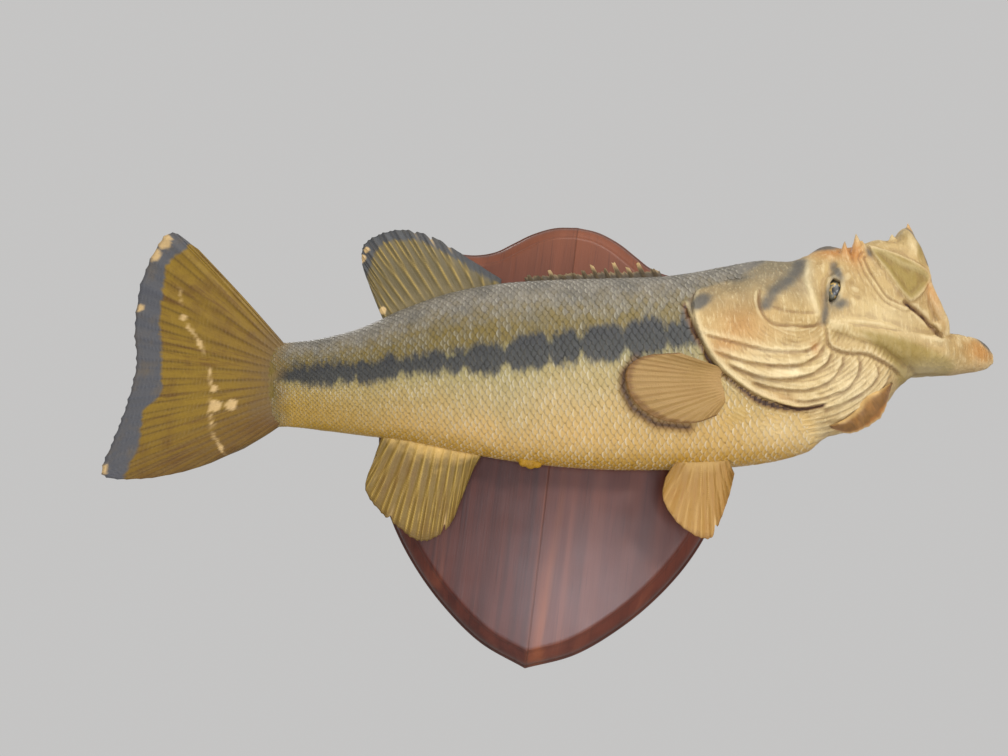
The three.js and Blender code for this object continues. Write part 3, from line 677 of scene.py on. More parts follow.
# Scales: rows at even steps round the body, each scale rooted ahead and lying back to the tail.
scales = {"rows": 46, "first": -7.0, "last": 302.0, "pitch": [2.9, 3.8], "length": 2.05, "width": 1.14,
          "proud": 0.24, "sunk": 0.22, "dome": 0.11, "groove": 0.05, "thick": 0.16, "grid": (5, 5),
          "halfway": 118}

girthS = np.linspace(-10, 320, 166)
sweep = np.linspace(0, 2 * math.pi, 721)
loops = bodyPoint(girthS[:, None], sweep[None], -body["coat"])
steps = np.linalg.norm(np.diff(loops, axis=1), axis=2)
girths = np.concatenate([np.zeros((len(girthS), 1)), np.cumsum(steps, 1)], 1)
evenShare = np.linspace(0, 1, 361)
evenAngle = np.array([np.interp(evenShare * g[-1], g, sweep) for g in girths])


def girthAngle(s, share):  # angle round the body at an even share of the girth from the mid right flank
    turn = np.floor(share)
    at = (share - turn) * 360
    i = np.clip(np.searchsorted(girthS, s) - 1, 0, len(girthS) - 2)
    f = np.clip((s - girthS[i]) / (girthS[i + 1] - girthS[i]), 0, 1)
    j = np.minimum(at.astype(int), 359)
    g = at - j
    low = mix(evenAngle[i, j], evenAngle[i, j + 1], g)
    high = mix(evenAngle[i + 1, j], evenAngle[i + 1, j + 1], g)
    return mix(low, high, f) + turn * 2 * math.pi


def onBody(s, share, out):  # a point of the skin, raised along its normal
    def at(ahead=0.0, turn=0.0):
        return bodyPoint(s + ahead, girthAngle(s + ahead, share + turn), -body["coat"])

    p = at()
    n = np.cross(at(turn=0.002) - at(turn=-0.002), at(ahead=0.4) - at(ahead=-0.4))
    n /= np.linalg.norm(n, axis=-1, keepdims=True) + 1e-9
    inwards = np.sum(n[..., 1:] * p[..., 1:], -1, keepdims=True) < 0
    return p + np.where(inwards, -n, n) * out[..., None]


def scaleSeeds():
    seeds = []
    s, column = scales["first"], 0
    while s < scales["last"]:
        pitch = mix(scales["pitch"][0], scales["pitch"][1], float(smooth(10, 110, s)))
        offset = 0.5 * (column % 2)
        for row in range(scales["rows"]):
            seeds.append((s + rng.normal(0, 0.13),
                          (row + offset) / scales["rows"] + rng.normal(0, 0.0006), pitch))
        s += pitch / 2
        column += 1
    return np.array(seeds)


def scaled(s, t):  # True where the body carries scales
    behind = s < np.interp(t, headBack["t"], headBack["s"]) - 1.2
    fringe = s > -7 + 5 * np.abs(waves(t / 4, seed=31)) - 0.006 * t ** 2
    return behind & fringe


def makeScales(name, seeds):
    na, nb = scales["grid"]
    a = np.linspace(0, 1, na)[None, :, None]  # from the root of a scale to its free edge
    b = np.linspace(-1, 1, nb)[None, None, :]  # across it
    s0, share0, pitch = (seeds[:, k, None, None] for k in range(3))
    girth = np.interp(s0, girthS, girths[:, -1])
    size = 1 + rng.normal(0, 0.05, s0.shape)
    long = pitch * scales["length"] / 2 * size * 1.25
    wide = girth / scales["rows"] * scales["width"] / 2 * size
    outline = 0.62 + 0.38 * np.sin(math.pi * np.clip(a * 0.85 + 0.12, 0, 1))
    s = s0 - (a * long - 0.42 * long - 0.20 * long * a * b ** 2)
    share = share0 + b * wide * outline / girth
    heightOn = -60 * np.cos(seeds[:, 1] * 2 * math.pi + math.pi / 2)
    flat = most(blot(seeds[:, 0], heightOn, (292, -40), (34, 60)), smooth(12, -6, seeds[:, 0]))[:, None, None]
    tilt = scales["proud"] * (0.75 + 0.5 * rng.random(s0.shape)) * (1 - 0.7 * flat)
    sunk, dome, groove = scales["sunk"], scales["dome"], scales["groove"]
    height = -sunk + (tilt + sunk) * a ** 0.8 + groove * np.sin(b * 11) * a
    height = height + dome * (1 - b ** 2) * np.sin(math.pi * np.clip(a + 0.15, 0, 1))
    count, face = len(seeds), na * nb
    grid = onBody(s, share, height).reshape(count, face, 3)
    index = np.arange(face).reshape(na, nb)
    quads = np.stack([index[:-1, :-1], index[:-1, 1:], index[1:, 1:], index[1:, :-1]], -1).reshape(-1, 4)
    rim = np.r_[index[0], index[1:, -1], index[-1, -2::-1], index[-2:0:-1, 0]]
    # the underside: the rim again, let down by the thickness, closed by one face
    under = onBody(s, share, height - scales["thick"]).reshape(count, face, 3)[:, rim]
    points = np.concatenate([grid, under], 1)
    each = points.shape[1]
    low = face + np.arange(len(rim))
    walls = np.stack([rim, np.roll(rim, -1), np.roll(low, -1), low], -1)
    faces = []
    for base in range(0, count * each, each):
        faces += (quads + base)[:, ::-1].tolist()
        faces += (walls + base).tolist()
        faces.append((low + base).tolist())
    piece = addObject(name, place(points.reshape(-1, 3)), faces)
    flatA, flatB = (np.broadcast_to(way, (1, na, nb)).reshape(-1) for way in (a, b))
    paint(piece, points.reshape(-1, 3), np.repeat(rng.random(count), each),
          np.tile(np.r_[flatA ** 2, np.full(len(rim), 0.8)], count))
    field(piece, "cavity", np.zeros(count * each))
    # every scale is its own small patch of the map
    shrink = np.r_[np.ones(face), np.full(len(rim), 1.12)]
    half = seeds[:, 1] % 1
    half = np.where(half > 0.75, half - 1, half)
    half = (half - half.min()) / (half.max() - half.min())
    lengthwise = (seeds[:, 0] - seeds[:, 0].min()) / np.ptp(seeds[:, 0])
    u = 0.02 + 0.96 * lengthwise[:, None] + 0.0015 * (1 - 2 * np.r_[flatA, flatA[rim]]) * shrink
    v = 0.02 + 0.96 * half[:, None] + 0.0015 * np.r_[flatB, flatB[rim]] * shrink
    corners = np.empty(len(piece.data.loops), np.int32)
    piece.data.loops.foreach_get("vertex_index", corners)
    patches = np.stack([u, v], -1).reshape(-1, 2)[corners]
    piece.data.uv_layers.new(name="OFBake").data.foreach_set("uv", patches.astype(np.float32).ravel())
    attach(piece, "root")
    print(name + ":", count, "scales")
    return piece


seeds = scaleSeeds()
rooted = bodyPoint(seeds[:, 0], girthAngle(seeds[:, 0], seeds[:, 1]))
carried = scaled(rooted[:, 0], rooted[:, 1])
seeds, rooted = seeds[carried], rooted[carried]
right, front = rooted[:, 2] < 0, seeds[:, 0] > scales["halfway"]
scaleCoats = [makeScales(name, seeds[chosen]) for name, chosen in (
    ("scalesRightFront", right & front), ("scalesRightRear", right & ~front),
    ("scalesLeftFront", ~right & front), ("scalesLeftRear", ~right & ~front))]

# Fins: root line, margin, rays, thickness at root and margin, height of a ray, how ragged the margin is.
# The bow leans the margin to the left, the band is where the dark margin starts, crack and flakes are bare.
fins = {
    "tail": {
        "root": [[3, -19], [2, -8], [2, 8], [3, 19]],
        "margin": [[-28, -36], [-58, -46.5], [-92, -51], [-114, -47], [-107, -26], [-99, -5], [-93.5, 18],
                   [-94.5, 44], [-88.5, 76], [-73, 100], [-55, 88]],
        "rays": 19, "thick": [4.6, 0.7], "rib": 0.42, "bow": 5, "flare": 0.24, "ragged": 0.014, "slits": 0,
        "seed": 2,
        "band": [(-58, 94), (-61.6, 86.7), (-71.7, 81), (-76.7, 55.7), (-78.5, 43.2), (-76.6, 24.2),
                 (-77.8, -0.5), (-87.6, -12.3), (-90, -30.4), (-96, -42.2), (-99.7, -52)], "bandShift": 0,
        "crack": [(-71.7, 81), (-65.4, 63.9), (-64.1, 48.6), (-59.2, 38.2), (-53, 29.1), (-46.8, 12.5),
                  (-45.7, -2.4), (-46.4, -12.2), (-44.6, -26.9), (-38.6, -39.3)],
        "flakes": [(-43.3, -10.5, 3.6), (-33.5, -10.5, 3.4), (-62.9, 44.7, 2.0), (-52.3, 27.8, 1.9),
                   (-43.8, 0, 2.2), (-40.4, -35.6, 1.5), (-90.5, 52.8, 2.2), (-76, 94, 5), (-82, 86, 4),
                   (-112, -44, 3)]},
    "softDorsal": {
        "root": [[60, 31], [80, 39], [104, 46], [129, 48.5]],
        "margin": [[50, 57], [45.5, 73], [47, 84], [58, 90.5], [72, 92], [89, 86.5], [111, 71], [129.5, 57]],
        "rays": 13, "thick": [2.6, 0.7], "rib": 0.5, "bow": 4, "flare": 0.1, "ragged": 0.022, "slits": 3,
        "seed": 5,
        "band": [(124, 57), (112, 66), (96, 77), (80, 85.5), (66, 86.5), (56, 83), (51, 76), (46.5, 60)],
        "bandShift": 2, "flakes": [(46, 75, 2.4), (49, 80, 1.8), (58, 41, 2.4)]},
    "anal": {
        "root": [[57, -29], [78, -34], [98, -39.5], [116, -45]],
        "margin": [[49, -47], [43.5, -64], [52, -78], [63, -88.5], [74, -96], [83, -94.5], [92, -88],
                   [100, -72], [107, -56]],
        "rays": 13, "thick": [2.6, 0.7], "rib": 0.5, "bow": 5, "flare": 0.1, "ragged": 0.02, "slits": 2,
        "seed": 8},
    "pelvic": {
        "root": [[225, -56], [235, -57], [244, -57.5], [252, -57]],
        "margin": [[216, -68], [213.5, -79], [220, -93], [231, -102], [238, -103], [245.5, -91], [251, -78],
                   [254, -68]],
        "rays": 8, "thick": [2.6, 0.7], "rib": 0.45, "flare": 0.06, "ragged": 0.02, "slits": 1, "seed": 12,
        "out": {1: 11, -1: 9}, "splay": {1: 7, -1: 2}, "scale": {1: 1, -1: 0.88}},
    "pectoral": {
        "root": [[252, -11], [253, -17], [253, -23], [251, -29]],
        "margin": [[226, -2], [206, -3], [197, -9], [196, -18.5], [200.5, -28.5], [213, -37.5], [232, -40.5],
                   [244, -37.5]],
        "rays": 17, "thick": [2.2, 0.65], "rib": 0.14, "wide": 0.08, "flare": 0.1, "ragged": 0.012,
        "slits": 0, "seed": 15, "sunk": 2.5, "lift": 7},
}
rayColumns, finLevels = 10, 56


def raySection(share, v):  # rays round at the root, forked towards the margin; 1 on a ray, 0 on the web
    single = np.exp(-((share - 0.5) / 0.17) ** 2)
    forked = np.exp(-((np.abs(share - 0.5) - 0.2) / 0.105) ** 2)
    f = smooth(0.42, 0.72, v)
    return mix(single, forked, f)


def webPiece(name, s, t, middle, half, web, slot, *replaced):  # a thin closed sheet, its faces coloured alike
    def both(near, far):
        return np.concatenate([near, far[:, ::-1]], 1)

    piece = gridObject(name, place(both(*(np.stack([s, t, middle + way * half], -1) for way in (1, -1)))))
    for key, values in web.items():
        values = np.broadcast_to(values, s.shape)
        field(piece, key, np.r_[both(values, values).ravel(), 0.5, 0.5])
    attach(piece, "root")
    if replaced:
        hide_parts(*replaced)
    return piece


def finPiece(name, spec, side, replaced):  # side gives how far the fin stands to the left of the middle
    rays, seed = spec["rays"], spec["seed"]
    u = np.linspace(0, 1, rays * rayColumns + 1)
    v = np.linspace(0, 1, finLevels)
    start, stop = (curvePoints(spec[line], u)[:, None, :2] for line in ("root", "margin"))
    local = np.random.default_rng(seed)
    share = (u * rays) % 1
    chewed = 0.55 * (1 - raySection(share, 0.9)) + 0.45 * (0.5 + 0.5 * waves(u * rays * 1.3, seed=seed))
    torn = spec["ragged"] * chewed
    for _ in range(spec["slits"]):
        at = (local.integers(1, rays) + 0.02) / rays
        torn = torn + local.uniform(0.03, 0.09) * np.exp(-((u - at) * rays / 0.12) ** 2)
    torn = torn * smooth(0, 0.03, u) * smooth(0, 0.03, 1 - u)
    vv = v[None] * (1 - torn[:, None])
    uu = np.broadcast_to(u[:, None], vv.shape)
    s, t = (mix(start[..., k], stop[..., k], vv) for k in range(2))
    t = t + spec["flare"] * np.sin(math.pi * vv) * 10 * (uu - 0.5)
    warp = 0.9 * waves(uu * 7, vv * 3, seed=seed + 1) + 0.35 * np.sin(uu * rays * 2 * math.pi)
    middle = side(uu, vv, s, t) + vv * warp
    ray = raySection(share[:, None], vv)
    half = mix(*spec["thick"], vv ** 0.8) / 2 + spec["rib"] * ray * np.minimum(1, 4 * vv) * mix(1, 0.55, vv)
    half = half * mix(1, 0.45, smooth(0.93, 1, v)[None]) * smooth(-0.01, 0.012, np.minimum(uu, 1 - uu))
    half = np.maximum(half, 0.16) + 0.05 * np.sin(vv * 150) * ray * smooth(0.3, 0.5, vv)
    band = 40 * (vv - 1 + spec.get("wide", 0.05))
    mark = np.zeros_like(s)
    grain = waves(s / 1.3, t / 1.3, seed=seed + 3)
    if "band" in spec:
        d, way, _ = lineDistance(s, t, smoothLine(spec["band"], 40))
        band = spec["bandShift"] - way * d
    if "crack" in spec:
        d, _, _ = lineDistance(s + 0.8 * grain, t + 0.6 * grain, spec["crack"])
        mark = np.maximum(mark, ridge(d, 0.75) * smooth(-0.5, 0.3, waves(s / 5, t / 5, seed=seed + 4)))
        half = half - 0.25 * ridge(d, 0.7)
    for flakeS, flakeT, wide in spec.get("flakes", ()):
        patch = smooth(0.15, -0.15, np.hypot(s - flakeS, t - flakeT) / wide - 1 + 0.14 * grain)
        mark = np.maximum(mark, patch)
        half = half + 0.3 * patch
    frayed = np.maximum(smooth(0.02, 0.12, torn)[:, None] * smooth(0.8, 1, v)[None], mark)
    return webPiece(name, s, t, middle, np.maximum(half, 0.16),
                    {"finU": uu, "finV": vv, "ray": ray, "band": band, "frayed": frayed}, "fin_skin",
                    replaced)


def pelvicPiece(side, word):
    spec = dict(fins["pelvic"])
    out, splay, small = (spec[key][side] for key in ("out", "splay", "scale"))
    spec["margin"] = [[236 + (s - 236) * small, -57 + (t + 57) * small] for s, t in spec["margin"]]
    return finPiece("pelvicFin" + word.title(), spec, lambda u, v, s, t: -side * (out + splay * v * v),
                    "pelvic_fin_" + word)


def pectoralSide(u, v, s, t):
    sunk, lift = fins["pectoral"]["sunk"], fins["pectoral"]["lift"]
    return -(halfWidth(s, t) - sunk + (sunk + lift) * np.sin(math.pi / 2 * v))


print("fins")
finPieces = {}
for key, name, replaced in (("tail", "tailFin", "tail_fin"),
                            ("softDorsal", "softDorsalFin", "soft_dorsal_fin"),
                            ("anal", "analFin", "anal_fin")):
    bow = fins[key]["bow"]
    finPieces[key] = finPiece(name, fins[key], lambda u, v, s, t: bow * v * v, replaced)
for side, word in ((1, "right"), (-1, "left")):
    finPieces["pelvic" + word] = pelvicPiece(side, word)
finPieces["pectoral"] = finPiece("pectoralFin", fins["pectoral"], pectoralSide, "pectoral_fin_right")

spines = {"root": [[146, 48], [172, 48.4], [198, 47.8], [226, 47.4]], "web": 3.0, "lean": 5,
          "stubs": [4.5, 2.5, 6, 3, 4, 5.5, 8, 5, 9, 6.5, 8.5, 4]}


def spinyFin():  # broken spines in the low torn web
    number = len(spines["stubs"])
    u = np.linspace(0, 1, number * 14 + 1)
    v = np.linspace(0, 1, 16)[None]
    start = curvePoints(spines["root"], u)
    share = (u * number) % 1
    stub = np.array(spines["stubs"])[np.minimum((u * number).astype(int), number - 1)]
    spine = np.exp(-((share - 0.5) / 0.19) ** 2)
    ragged = 0.9 * waves(u * 60, seed=21) + 0.7 * waves(u * 140, seed=22)
    height = 5 + spines["web"] + ragged + (stub - spines["web"]) * smooth(0.35, 0.6, spine)
    s = start[:, None, 0] - spines["lean"] * v * (height / 14)[:, None]
    t = start[:, None, 1] + height[:, None] * v
    half = mix(1.2, 0.45, v) + 0.5 * spine[:, None] * mix(1, 0.6, v)
    middle = 0.5 * waves(u * 30, seed=23)[:, None] * v
    wearAndReliefShading = smooth(0.2, 1.2, waves(u * 50, seed=25)) + (stub > 5.8) * (spine > 0.4)
    frayed = smooth(0.6, 1, v) * wearAndReliefShading[:, None]
    return webPiece("spinyDorsalFin", s, t, middle, half,
                    {"finU": u[:, None], "finV": v, "ray": spine[:, None], "band": (v - 0.9) * 9,
                     "frayed": frayed},
                    "fin_skin", "spiny_dorsal_fin")


finPieces["spiny"] = spinyFin()

flap = {"held": [(309.4, -43.9), (316.8, -41.2), (323.2, -37.1), (329.0, -30.1), (336.3, -26.5),
                 (344.1, -22.7)],
        "free": [(311.2, -45.3), (322.0, -47.8), (329.9, -46.3), (337.7, -41.0), (342.7, -33.3),
                 (348.0, -21.4)],
        "thick": [0.75, 0.3]}


def throatFlap():  # torn skin hanging off the throat, curled outwards
    u, v = np.linspace(0, 1, 60), np.linspace(0, 1, 22)[None]
    held, free = (smoothLine(flap[line], 60) for line in ("held", "free"))
    ragged = 1 + 0.07 * waves(u * 14, seed=41) + 0.05 * waves(u * 40, seed=42)
    s, t = (mix(held[:, None, k], free[:, None, k], v * ragged[:, None]) for k in range(2))
    out = halfWidth(held[:, 0], held[:, 1])[:, None] - 1.2 + 1.5 * np.sin(v * 2.6) - 6.5 * v ** 2
    out = out + 0.9 * np.sin(u[:, None] * 17 + v * 2) * v + 0.3 * waves(s / 2, t / 2, seed=43)
    ray = 0.5 + 0.5 * np.sin(u[:, None] * 24 + 1.5 * waves(s / 5, t / 5, seed=44))
    return webPiece("throatFlap", s, t, -out, -mix(*flap["thick"], v),
                    {"finU": u[:, None], "finV": v, "ray": ray, "band": v * 10 - 9,
                     "frayed": smooth(0.86, 1, v)},
                    "head_skin")


finPieces["flap"] = throatFlap()

print("eyes")
eyePieces = []
for side, word in ((1, "right"), (-1, "left")):
    globe = ball("eyeGlobe" + word.title(), eyeCentre(side), eye["radius"], 5)
    shadeSmooth(globe)
    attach(globe, "root")
    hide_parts("eye_" + word)
    eyePieces.append(globe)

# Plaque: half outline from the top of the dome round to the point, and the moulded edge from the back.
plaque = {
    "top": [[0, 138.6], [14, 136.8], [28, 131], [40, 123.2], [50, 116.8], [63, 113.2], [80, 113.6],
            [98, 117.5]],
    "side": [[98, 117.5], [103.5, 92], [108, 55], [109.3, 20], [108, -12], [102.5, -40], [92, -63], [76, -86],
             [55, -108], [29, -127.5], [0, -139.2]],
    "edge": [[0, 2], [0, 1.1], [0.3, 0.35], [1.1, 0], [3, 0], [6.2, 0], [6.9, 0.25], [7.3, 1.1], [7.7, 1.6],
             [9.2, 1.9], [11, 2.4], [12.7, 3.3], [14.3, 4.7], [15.7, 6.6], [16.7, 8.4], [17.3, 9.4],
             [18.1, 9.8], [18.7, 10.4], [18.95, 11.2], [19, 11.9], [19, 12.6]],
}
hanger = {"z": 92, "width": 46, "height": 17, "depth": 2, "gap": 0.3, "pocket": 14, "pocketDepth": 9}
recess = {"width": 10.2, "depth": 2.5}  # round the head of each screw


def evenPoints(knots, count):
    fine = curvePoints(knots, np.linspace(0, 1, 800))[:, :2]
    run = np.r_[0, np.cumsum(np.linalg.norm(np.diff(fine, axis=0), axis=1))]
    return np.stack([np.interp(np.linspace(0, run[-1], count), run, fine[:, k]) for k in range(2)], 1)


def shield():
    half = np.vstack([evenPoints(plaque["top"], 60)[:-1], evenPoints(plaque["side"], 160)])
    outline = np.vstack([half, half[1:-1][::-1] * (-1, 1)])
    before, after = np.roll(outline, 1, 0), np.roll(outline, -1, 0)
    a = (outline - before) / np.linalg.norm(outline - before, axis=1)[:, None]
    b = (after - outline) / np.linalg.norm(after - outline, axis=1)[:, None]
    inward = np.stack([a[:, 1] + b[:, 1], -a[:, 0] - b[:, 0]], 1)
    inward /= np.linalg.norm(inward, axis=1)[:, None]
    stretch = 1 / np.maximum(0.5, inward[:, 0] * a[:, 1] - inward[:, 1] * a[:, 0])
    rings = []
    for depth, inset in plaque["edge"]:
        p = outline + inward * (inset * stretch)[:, None]
        d, _, _ = lineDistance(p[:, 0], p[:, 1], np.vstack([outline, outline[:1]]))
        order, kept = np.arange(len(p)), d > inset - 0.06  # points that cross at a corner are respread
        p = np.stack([np.interp(order, order[kept], p[kept, k]) for k in range(2)], 1)
        rings.append(np.stack([p[:, 0], np.full(len(p), -depth), p[:, 1]], 1))
    return gridObject("plaqueBoard", np.array(rings) / 1000, False)


def bar(name, width, height, depth, x, z, sides=64):  # round at both ends, or a disc where width is height
    angle = np.linspace(0, 2 * math.pi, sides, endpoint=False)
    shift = np.sign(np.cos(angle)) * (width - height) / 2
    rings = [np.stack([x + shift + height / 2 * np.cos(angle), np.full(sides, y),
                       z + height / 2 * np.sin(angle)], 1)
             for y in (2.0, -depth)]
    return gridObject(name, np.array(rings) / 1000)


print("plaque")
board = shield()
wide, tall, deep = (hanger[key] + hanger["gap"] * k for key, k in (("width", 2), ("height", 2), ("depth", 1)))
combine(board, bar("hangerTool", wide, tall, deep, 0, hanger["z"]), "DIFFERENCE")
wide, deep = hanger["pocket"], hanger["pocketDepth"]
combine(board, bar("pocketTool", wide, wide, deep, 0, hanger["z"], 48), "DIFFERENCE")
for word in ("screw_low", "screw_high"):
    low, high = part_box(word)
    x, z = ((low[k] + high[k]) * 500 for k in (0, 2))
    wide, deep = recess["width"], recess["depth"]
    combine(board, bar("recessTool", wide, wide, deep, x, z, 48), "DIFFERENCE")
work = bmesh.new()
work.from_mesh(board.data)
for edge in work.edges:
    if len(edge.link_faces) == 2 and edge.calc_face_angle(0) > math.radians(38):
        edge.smooth = False
work.to_mesh(board.data)
work.free()
shadeSmooth(board)
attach(board, "root")
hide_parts("plaque")


class Value:  # wraps one output of a node so that plain expressions add Math nodes
    def __init__(self, look, socket):
        self.look, self.socket = look, socket

    def math(self, operation, *others, reflected=False):
        values = (self, *others)[::-1] if reflected else (self, *others)
        return self.look.node("ShaderNodeMath", {"operation": operation}, dict(enumerate(values)))

    def __add__(self, other): return self.math("ADD", other)
    __radd__ = __add__
    def __mul__(self, other): return self.math("MULTIPLY", other)
    __rmul__ = __mul__
    def __sub__(self, other): return self.math("SUBTRACT", other)
    def __rsub__(self, other): return self.math("SUBTRACT", other, reflected=True)
    def __pow__(self, other): return self.math("POWER", other)
    def __rpow__(self, other): return self.math("POWER", other, reflected=True)
    def clip(self): return self.math("MAXIMUM", 0.0).math("MINIMUM", 1.0)
    def wave(self): return self.math("SINE")
    def size(self): return self.math("ABSOLUTE")

    def ease(self, low, high):  # 0 below low, 1 above high
        return self.look.node("ShaderNodeMapRange", {"interpolation_type": "SMOOTHSTEP"},
                              {"Value": self, "From Min": low, "From Max": high, "To Min": 0.0,
                               "To Max": 1.0})


class Look:  # one material, or the world, and its nodes
    def __init__(self, name, kind="materials", shader="Principled BSDF", coords="Object"):
        self.owner = getattr(bpy.data, kind).new(name)
        self.owner.use_nodes = True
        self.tree = self.owner.node_tree
        self.shader = self.tree.nodes[shader]
        self.coords = self.node("ShaderNodeTexCoord", out=coords)

    def node(self, kind, settings=None, values=None, out=0):
        made = self.tree.nodes.new(kind)
        for key, setting in (settings or {}).items():
            setattr(made, key, setting)
        for key, value in (values or {}).items():
            self.feed(made.inputs[key], value)
        return Value(self, made.outputs[out])

    def feed(self, socket, value):
        if isinstance(value, Value):
            self.tree.links.new(value.socket, socket)
        else:
            socket.default_value = (*value, 1) if socket.type == "RGBA" and len(value) == 3 else value

    def field(self, name):
        return self.node("ShaderNodeAttribute", {"attribute_name": name}, out="Fac")

    def scaled(self, vector, by):
        return self.node("ShaderNodeVectorMath", {"operation": "MULTIPLY"}, {0: vector, 1: by})

    def noise(self, vector, scale, detail=3.0, rough=0.55, twist=0.0):
        return self.node("ShaderNodeTexNoise", {}, {"Vector": vector, "Scale": scale, "Detail": detail,
                                                   "Roughness": rough, "Distortion": twist}, "Fac")

    def blend(self, a, b, share):
        return self.node("ShaderNodeMix", {"data_type": "RGBA"}, {0: share, 6: a, 7: b}, 2)

    def split(self, vector, out):
        return self.node("ShaderNodeSeparateXYZ", {}, {0: vector}, out)

    def finish(self, bump=None, depth=0.0004, **sockets):
        for key, value in sockets.items():
            self.feed(self.shader.inputs[key.replace("_", " ")], value)
        if bump is not None:
            self.feed(self.shader.inputs["Normal"],
                      self.node("ShaderNodeBump", {}, {"Height": bump, "Distance": depth, "Strength": 1.0},
                                "Normal"))
        return self.owner


def paint8(red, green, blue):
    shares = (c / 255 for c in (red, green, blue))
    return tuple(((c + 0.055) / 1.055) ** 2.4 if c > 0.0393 else c / 12.92 for c in shares)


tints = {
    "back": (122, 115, 104), "backDark": (98, 93, 84), "upper": (106, 88, 30), "upperDark": (92, 82, 52),
    "stripe": (40, 43, 49), "pale": (138, 128, 82), "straw": (164, 140, 84), "ochre": (192, 154, 86),
    # bone is the pale of the skin's fibres and also the painted highlight
    "mustard": (146, 112, 6), "underside": (168, 124, 10), "bone": (238, 220, 176), "head": (182, 154, 102),
    "headTan": (160, 130, 80), "headWarm": (174, 106, 30), "olive": (136, 114, 50), "ink": (78, 76, 72),
    # the first two tints below are painted shade, in folds and grooves and in the deepest gaps; crown is the
    # greyer top of the head, partly painted shade
    "creaseShade": (92, 54, 22), "gap": (46, 24, 14), "cavity": (120, 84, 46), "crown": (118, 106, 82),
    "finRoot": (118, 96, 58),
}
tints = {name: paint8(*value) for name, value in tints.items()}


